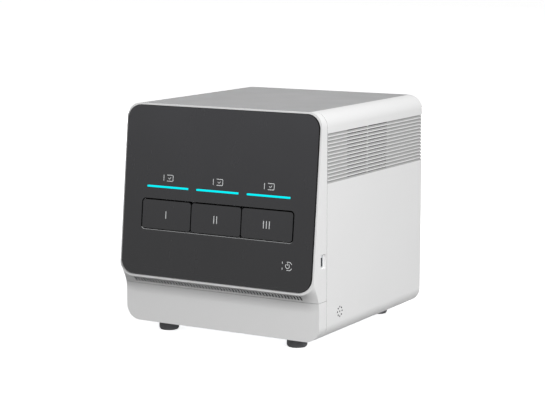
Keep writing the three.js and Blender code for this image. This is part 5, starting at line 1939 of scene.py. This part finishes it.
class PCR_OT_network_socket(bpy.types.Operator):
    """Build the network socket with its latch notch and contacts"""

    bl_idname = "pcr.network_socket"
    bl_label = "Network socket"

    mouth_width: length("Mouth width", "Width of the mouth", 0.0118)
    mouth_height: length("Mouth height", "Height of the mouth", 0.0084)
    mouth_depth: length("Mouth depth", "Depth of the mouth", 0.012)
    mouth_raise: length("Mouth raise", "Mouth's place above the socket's middle", 0.0005)
    notch_width: length("Notch width", "Width of the latch's notch", 0.0056)
    notch_height: length("Notch height", "Height of the notch below the mouth", 0.0015)
    soft: length("Soft edge", "Rounding of the steel cage", 0.0004)
    contacts: count("Contacts", "Contacts in the mouth", 8)
    contact_pitch: length("Contact pitch", "Distance between contacts", 0.00102)
    contact_width: length("Contact width", "Width of a contact", 0.0004)

    def execute(self, context):
        low, high = machine_box("lan_port")
        centre = (low + high) / 2
        z = centre.z + self.mouth_raise
        cage = round_edges(block(low, high), self.soft)
        mouth_low = z - self.mouth_height / 2
        mouth_top = z + self.mouth_height / 2
        floor = high.y - self.mouth_depth
        mouth = beam(centre.x, z, self.mouth_width, self.mouth_height, floor, high.y + OVERRUN)
        notch = block(
            (centre.x - self.notch_width / 2, floor, mouth_low - self.notch_height),
            (centre.x + self.notch_width / 2, high.y + OVERRUN, z),
        )
        cut(cage, join(mouth, notch))
        dress(cage, "socket_cage", "plated_steel", "lan_port")

        def lining(place, normal):
            """True for the walls and the floor of the mouth and the notch."""
            beside = abs(place.x - centre.x) < self.mouth_width / 2 + TOUCH and floor - TOUCH < place.y
            between_walls = mouth_low - self.notch_height - TOUCH < place.z < mouth_top + TOUCH
            return beside and between_walls and (normal.y < FACING or place.y < floor + TOUCH)

        paint_faces(cage, "black_moulding", lining)
        strips = []
        reach = high.y - self.mouth_depth / 3
        for place in spread(self.contacts, self.contact_pitch):
            x = centre.x + place
            strips.append(block((x - self.contact_width / 2, floor - SLIVER, mouth_top - 3 * self.soft),
                                (x + self.contact_width / 2, reach, mouth_top - 2 * self.soft)))
        dress(gather(*strips), "network_contacts", "cut_brass")
        return {"FINISHED"}


# Drawers and their thermal modules


class PCR_OT_drawer_trays(bpy.types.Operator):
    """Build the three folded drawer trays with their rails and racks"""

    bl_idname = "pcr.drawer_trays"
    bl_label = "Drawer trays"

    soft: length("Soft edge", "Rounding of the folded sheet's edges", 0.0003)

    def execute(self, context):
        for n in STATIONS:
            refined(f"drawer_tray_{n}", f"tray_{n}", self.soft, "plated_steel", f"drawer_{n}")
        return {"FINISHED"}


class PCR_OT_thermal_modules(bpy.types.Operator):
    """Build the sample blocks with their wells, the thermoelectric plates and the finned sinks"""

    bl_idname = "pcr.thermal_modules"
    bl_label = "Thermal modules"

    wells: count("Wells", "Wells along each side of a block", 4)
    well_pitch: length("Well pitch", "Distance between wells", 0.009)
    well_top: length("Well mouth", "Radius of a well's mouth", 0.0027)
    well_bottom: length("Well bottom", "Radius of a well's bottom", 0.0015)
    well_depth: length("Well depth", "Depth of a well", 0.0105)
    countersink: length("Countersink", "Chamfer round each well", 0.0004)
    soft: length("Soft edge", "Rounding of a block's edges", 0.0006)
    fin_soft: length("Fin edge", "Rounding of the sinks' edges", 0.0002)

    def well_rows(self, block_solid, middle, top, depth, mouth, bottom):
        """Cuts the wells, each a cone from its bottom up past the block's face."""
        first = spread(self.wells, self.well_pitch)[0]
        rise = (mouth - bottom) / depth
        run_tree(
            block_solid, hole_tree, Count=self.wells, Pitch=(self.well_pitch, 0, 0), Rows=self.wells,
            Row_pitch=(0, self.well_pitch, 0), Start=(middle.x + first, middle.y + first, top - depth),
            Sides=28, Top_radius=mouth + rise * OVERRUN, Bottom_radius=bottom,
            Depth=depth + OVERRUN, Material="machined_aluminium",
        )

    def execute(self, context):
        for n in STATIONS:
            low, high = machine_box(f"sample_block_{n}")
            middle = (low + high) / 2
            body = round_edges(block(low, high), self.soft)
            self.well_rows(body, middle, high.z, self.well_depth, self.well_top, self.well_bottom)
            mouth = self.well_top + self.countersink
            under = self.well_top - self.countersink
            self.well_rows(body, middle, high.z, 2 * self.countersink, mouth, under)
            dress(body, f"block_{n}", "machined_aluminium", f"sample_block_{n}", f"drawer_{n}")
            refined(f"thermo_plate_{n}", f"plate_{n}", self.fin_soft, "white_ceramic", f"drawer_{n}")
            refined(f"heat_sink_{n}", f"sink_{n}", self.fin_soft, "machined_aluminium", f"drawer_{n}")
        return {"FINISHED"}


class PCR_OT_drawer_drives(bpy.types.Operator):
    """Build the pinions and the motors that run the drawers"""

    bl_idname = "pcr.drawer_drives"
    bl_label = "Drawer drives"

    wheel_width: length("Wheel width", "Width of the toothed wheel", 0.0045)
    shaft: length("Shaft", "Radius of the shaft", 0.002)
    shaft_reach: length("Shaft reach", "How far the shaft runs into the motor", 0.008)
    saddle: length("Saddle", "Width of the motor's saddle", 0.014)
    end_cap: length("End cap", "Length of the motor's bright end", 0.004)
    soft: length("Soft edge", "Rounding of the motor's ends", 0.0008)

    def execute(self, context):
        for n in STATIONS:
            low, high = machine_box(f"drive_pinion_{n}")
            axle = flat_middle(low, high, "yz")
            face = high.x - self.wheel_width
            wheel = node_copy(f"drive_pinion_{n}", self.soft / 8, lambda spot: spot.x > face - TOUCH)
            join(wheel, rod("x", self.shaft + SLIVER, low.x, face + self.wheel_width / 2, axle, steps=32))
            dress(wheel, f"pinion_{n}", "cut_brass", f"drive_pinion_{n}", f"pinion_{n}")
            self.motor(n, axle)
        return {"FINISHED"}

    def motor(self, n, axle):
        low, high = machine_box(f"drawer_motor_{n}")
        radius = high.z - axle[1]
        can = rod("x", radius, low.x, high.x, axle, steps=64, chamfer=self.soft)
        wide = self.saddle / 2
        saddle = block((low.x, axle[0] - wide, low.z), (high.x, axle[0] + wide, axle[1]))
        round_edges(saddle, self.soft / 2)
        join(can, saddle)
        cut(can, rod("x", self.shaft + RUNNING_GAP, high.x - self.shaft_reach, high.x + OVERRUN, axle))
        dress(can, f"motor_{n}", "motor_paint", f"drawer_motor_{n}")
        bright = high.x - self.end_cap
        paint_faces(can, "plated_steel", lambda place, normal: place.x > bright)


# Heated lids and their motors


class PCR_OT_heated_lids(bpy.types.Operator):
    """Build the heated lids with their guide pins and screws, and the motors that press them down"""

    bl_idname = "pcr.heated_lids"
    bl_label = "Heated lids"

    plate: length("Plate", "Thickness of a lid's plate", 0.008)
    hole: length("Hole", "Radius of a reading hole", 0.002)
    holes: count("Holes", "Holes along each side", 4)
    hole_pitch: length("Hole pitch", "Distance between the holes", 0.009)
    pin: length("Pin", "Radius of a guide pin", 0.002)
    pin_inset: length("Pin inset", "Pins' place from the plate's sides", 0.006)
    pin_front: length("Pin front", "Front pins' place before the block's middle", 0.017)
    pin_rear: length("Pin rear", "Screw's and rear pins' place behind the block's middle", 0.036)
    pin_rise: length("Pin rise", "How far a pin stands above the bridge", 0.008)
    screw: length("Screw", "Radius of the screw", 0.003)
    thread: length("Thread", "Depth of the screw's thread", 0.0003)
    thread_pitch: length("Thread pitch", "Pitch of the thread", 0.0016)
    soft: length("Soft edge", "Rounding of the edges", 0.0005)
    motor_corner: length("Motor corner", "Corner radius of a motor", 0.003)

    def lid(self, n):
        low, high = machine_box(f"hot_lid_{n}")
        middle = middle_of(f"sample_block_{n}")
        top = low.z + self.plate
        body = round_edges(block(low, (high.x, high.y, top)), self.soft)
        first = spread(self.holes, self.hole_pitch)[0]
        run_tree(
            body, hole_tree, Count=self.holes, Pitch=(self.hole_pitch, 0, 0), Rows=self.holes,
            Row_pitch=(0, self.hole_pitch, 0), Start=(middle.x + first, middle.y + first, low.z - OVERRUN),
            Sides=24, Top_radius=self.hole, Bottom_radius=self.hole,
            Depth=self.plate + 2 * OVERRUN, Material="machined_aluminium",
        )
        pin_top = machine_box("module_bridge")[1].z + self.pin_rise
        rods = []
        for x in (low.x + self.pin_inset, high.x - self.pin_inset):
            for y in (middle.y - self.pin_front, middle.y + self.pin_rear):
                rods.append(rod("z", self.pin, top - OVERRUN, pin_top, (x, y), chamfer=self.soft))
        rods.append(self.screw_rod((middle.x, middle.y + self.pin_rear), top - OVERRUN, high.z))
        join(body, *rods)
        dress(body, f"lid_{n}_plate", "machined_aluminium", f"hot_lid_{n}", f"lid_{n}")

    def screw_rod(self, place, start, end, sides=20, steps_in_turn=4):
        """A threaded rod, whose thread climbs as a helix."""
        turns = int((end - start - self.soft) / self.thread_pitch)
        levels = steps_in_turn * turns
        rings = []
        for level in range(levels + 1):
            z = start + (end - start) * level / levels
            ring = []
            for i in range(sides):
                bend = 2 * math.pi * i / sides
                wave = math.cos(2 * math.pi * z / self.thread_pitch - bend)
                radius = self.screw - self.thread * (1 - wave) / 2
                ring.append((place[0] + radius * math.cos(bend), place[1] + radius * math.sin(bend), z))
            rings.append(ring)
        return loft(rings)

    def motor(self, n):
        low, high = machine_box(f"lid_motor_{n}")
        middle = flat_middle(low, high, "xy")
        outline = box_outline(low, high, "xy", self.motor_corner, steps=5)
        can = soft_prism(outline, "z", low.z, high.z, self.soft)
        cut(can, rod("z", self.screw + RUNNING_GAP, low.z - OVERRUN, high.z + OVERRUN, middle))
        dress(can, f"lid_{n}_motor", "motor_paint", f"lid_motor_{n}")

        def end(place, normal):
            return place.z < low.z + self.soft or place.z > high.z - self.soft * 2

        paint_faces(can, "machined_aluminium", end)

    def execute(self, context):
        for n in STATIONS:
            self.lid(n)
            self.motor(n)
        return {"FINISHED"}


# Chassis


class PCR_OT_chassis(bpy.types.Operator):
    """Build the base plate, the guide walls, the deck, the bridge and the optics housing"""

    bl_idname = "pcr.chassis"
    bl_label = "Chassis"

    soft: length("Soft edge", "Rounding of the folded sheet's edges", 0.0003)
    optics_soft: length("Optics edge", "Rounding of the optics housing", 0.0010)
    screw: length("Screw", "Radius of a screw head under the base", 0.0029)
    screw_inset: length("Screw inset", "Screws' place inside the base plate's sides", 0.008)
    screw_start: length("First screw", "First screw's place behind the seam", 0.022)
    screws: count("Screws", "Screws along each side of the base", 4)

    def execute(self, context):
        walls = [f"guide_wall_{i}" for i in GUIDE_WALLS]
        for node in ("base_plate", "chassis_deck", "module_bridge", *walls):
            refined(node, f"{node}_sheet", self.soft, "plated_steel")
        refined("optics_unit", "optics_housing", self.optics_soft, "black_moulding")
        low, high = machine_box("base_plate")
        head = screw_head("z", -1, self.screw)
        pitch = (high.y - low.y - 3 * self.screw_start) / (self.screws - 1)
        across = high.x - low.x - 2 * self.screw_inset
        first = (low.x + self.screw_inset, self.screw_start, low.z)
        heads = pattern(head, first, self.screws, (0, pitch, 0), 2, (across, 0, 0))
        dress(heads, "base_screws", "plated_steel")
        return {"FINISHED"}


# Electronics


# Radii of the speaker's magnet, rim, hollow, throat and cap as shares of its own, and the depths of the
# cap's edge and middle as shares of the cone's
SPEAKER_RADII = (0.6, 0.86, 0.86 * 0.9, 0.3, 0.2)
CAP_DEPTHS = (0.8, 0.7)


class PCR_OT_electronics(bpy.types.Operator):
    """Build the boards, the power supply and the speaker"""

    bl_idname = "pcr.electronics"
    bl_label = "Electronics"

    soft: length("Soft edge", "Rounding of the supply's edges", 0.0006)
    board_soft: length("Board edge", "Rounding of the boards' edges", 0.0002)
    board: length("Board", "Thickness of a board", 0.0016)
    perforation: length("Perforation", "Radius of a hole in the supply's lid", 0.0022)
    perforation_pitch: length("Perforation pitch", "Distance between those holes", 0.008)
    cone: length("Cone", "Depth of the speaker's cone", 0.003)
    terminals: length("Terminals", "Depth of the terminals in front of the supply", 0.0119)
    terminal_drop: length("Terminal drop", "How far the terminals lie below the supply's lid", 0.030)
    chip: length("Chip", "Reach of the large chip from the board's middle", 0.024)
    connector: length("Connector", "Depth of the connectors along the board's front edge", 0.009)

    def supply(self):
        can = node_copy("power_supply", self.soft)
        low, high = machine_box("power_supply")
        across = int((high.x - low.x) / self.perforation_pitch) - 1
        along = int((high.y - low.y) / self.perforation_pitch / 2)
        first_x = (low.x + high.x) / 2 + spread(across, self.perforation_pitch)[0]
        first_y = high.y - (along + 1) * self.perforation_pitch
        run_tree(
            can, hole_tree, Count=across, Pitch=(self.perforation_pitch, 0, 0), Rows=along,
            Row_pitch=(0, self.perforation_pitch, 0), Start=(first_x, first_y, high.z - self.soft),
            Sides=12, Top_radius=self.perforation, Bottom_radius=self.perforation,
            Depth=OVERRUN, Material="plated_steel",
        )
        dress(can, "supply_case", "plated_steel", "power_supply")
        # The walls of the shallow holes in the lid are painted black as painted shade, so they look deep.
        paint_cuts(can, "black_moulding")

        def on_terminals(place, normal):
            return place.y < low.y + self.terminals and place.z < high.z - self.terminal_drop

        paint_faces(can, "black_moulding", on_terminals)

    def boards(self):
        main = node_copy("main_board", self.board_soft)
        dress(main, "main_board_card", "circuit_green", "main_board")
        low, high = machine_box("main_board")
        sheet_top = min(high.z, machine_box("lan_port")[0].z - CLEARANCE)
        centre = (low + high) / 2

        def chip(place, normal):
            near = math.hypot(place.x - centre.x, place.y - centre.y) < self.chip
            return near and place.z > sheet_top + CLEARANCE

        def connector(place, normal):
            return place.y < low.y + self.connector and place.z > sheet_top + CLEARANCE

        def leg(place, normal):
            return place.z < sheet_top - self.board - CLEARANCE

        paint_faces(main, "machined_aluminium", chip)
        paint_faces(main, "white_ceramic", connector)
        paint_faces(main, "cut_brass", leg)
        refined("key_board", "key_board_card", self.board_soft, "circuit_green")

    def speaker(self):
        low, high = machine_box("speaker")
        radius = (high.z - low.z) / 2
        magnet, rim, hollow, throat, cap = (radius * share for share in SPEAKER_RADII)
        profile = [(0, low.x), (magnet, low.x), (radius, high.x - self.cone), (radius, high.x), (rim, high.x),
                   (hollow, high.x - self.soft), (throat, high.x - self.cone)]
        profile += [(reach, high.x - self.cone * sunk) for reach, sunk in zip((cap, 0), CAP_DEPTHS)]
        body = turned(softened(profile, self.soft), "x", flat_middle(low, high, "yz"), steps=48)
        dress(body, "speaker_cone", "black_moulding", "speaker")

    def execute(self, context):
        self.supply()
        self.boards()
        self.speaker()
        return {"FINISHED"}


# Sidebar and run


PROPERTY_GROUPS = {
    "pcr_shell": ShellSizes,
    "pcr_panel": PanelSizes,
    "pcr_grille": GrilleSizes,
    "pcr_rear": RearSizes,
    "pcr_finish": Finishes,
    "pcr_stage": StageSizes,
}

OPERATORS = (
    PCR_OT_stage,
    PCR_OT_front_bezel,
    PCR_OT_front_skirt,
    PCR_OT_front_glass,
    PCR_OT_light_bars,
    PCR_OT_drawer_fronts,
    PCR_OT_marks,
    PCR_OT_usb_port,
    PCR_OT_side_covers,
    PCR_OT_louvre_filters,
    PCR_OT_top_cover,
    PCR_OT_feet,
    PCR_OT_rear_panel,
    PCR_OT_rear_fan,
    PCR_OT_power_inlet,
    PCR_OT_network_socket,
    PCR_OT_drawer_trays,
    PCR_OT_thermal_modules,
    PCR_OT_drawer_drives,
    PCR_OT_heated_lids,
    PCR_OT_chassis,
    PCR_OT_electronics,
)


class PCR_PT_panel(bpy.types.Panel):
    """Lists the pieces of the machine and their sizes"""

    bl_idname = "PCR_PT_panel"
    bl_label = "PCR machine"
    bl_space_type = "VIEW_3D"
    bl_region_type = "UI"
    bl_category = "PCR machine"

    def draw(self, context):
        column = self.layout.column(align=True)
        for operator in OPERATORS:
            column.operator(operator.bl_idname)
        for name, group in PROPERTY_GROUPS.items():
            sheet = self.layout.box()
            for key in group.__annotations__:
                sheet.prop(getattr(context.scene, name), key)


def register():
    for group in PROPERTY_GROUPS.values():
        bpy.utils.register_class(group)
    for thing in (*OPERATORS, PCR_PT_panel):
        bpy.utils.register_class(thing)
    for name, group in PROPERTY_GROUPS.items():
        setattr(bpy.types.Scene, name, bpy.props.PointerProperty(type=group))


def unregister():
    for name in PROPERTY_GROUPS:
        delattr(bpy.types.Scene, name)
    for thing in reversed((*PROPERTY_GROUPS.values(), *OPERATORS, PCR_PT_panel)):
        bpy.utils.unregister_class(thing)


def main():
    register()
    for operator in OPERATORS:
        name = operator.bl_idname.split(".")[1]
        if getattr(bpy.ops.pcr, name)() != {"FINISHED"}:
            raise RuntimeError(f"{operator.bl_label} did not finish")
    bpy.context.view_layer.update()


if __name__ == "__main__":
    main()
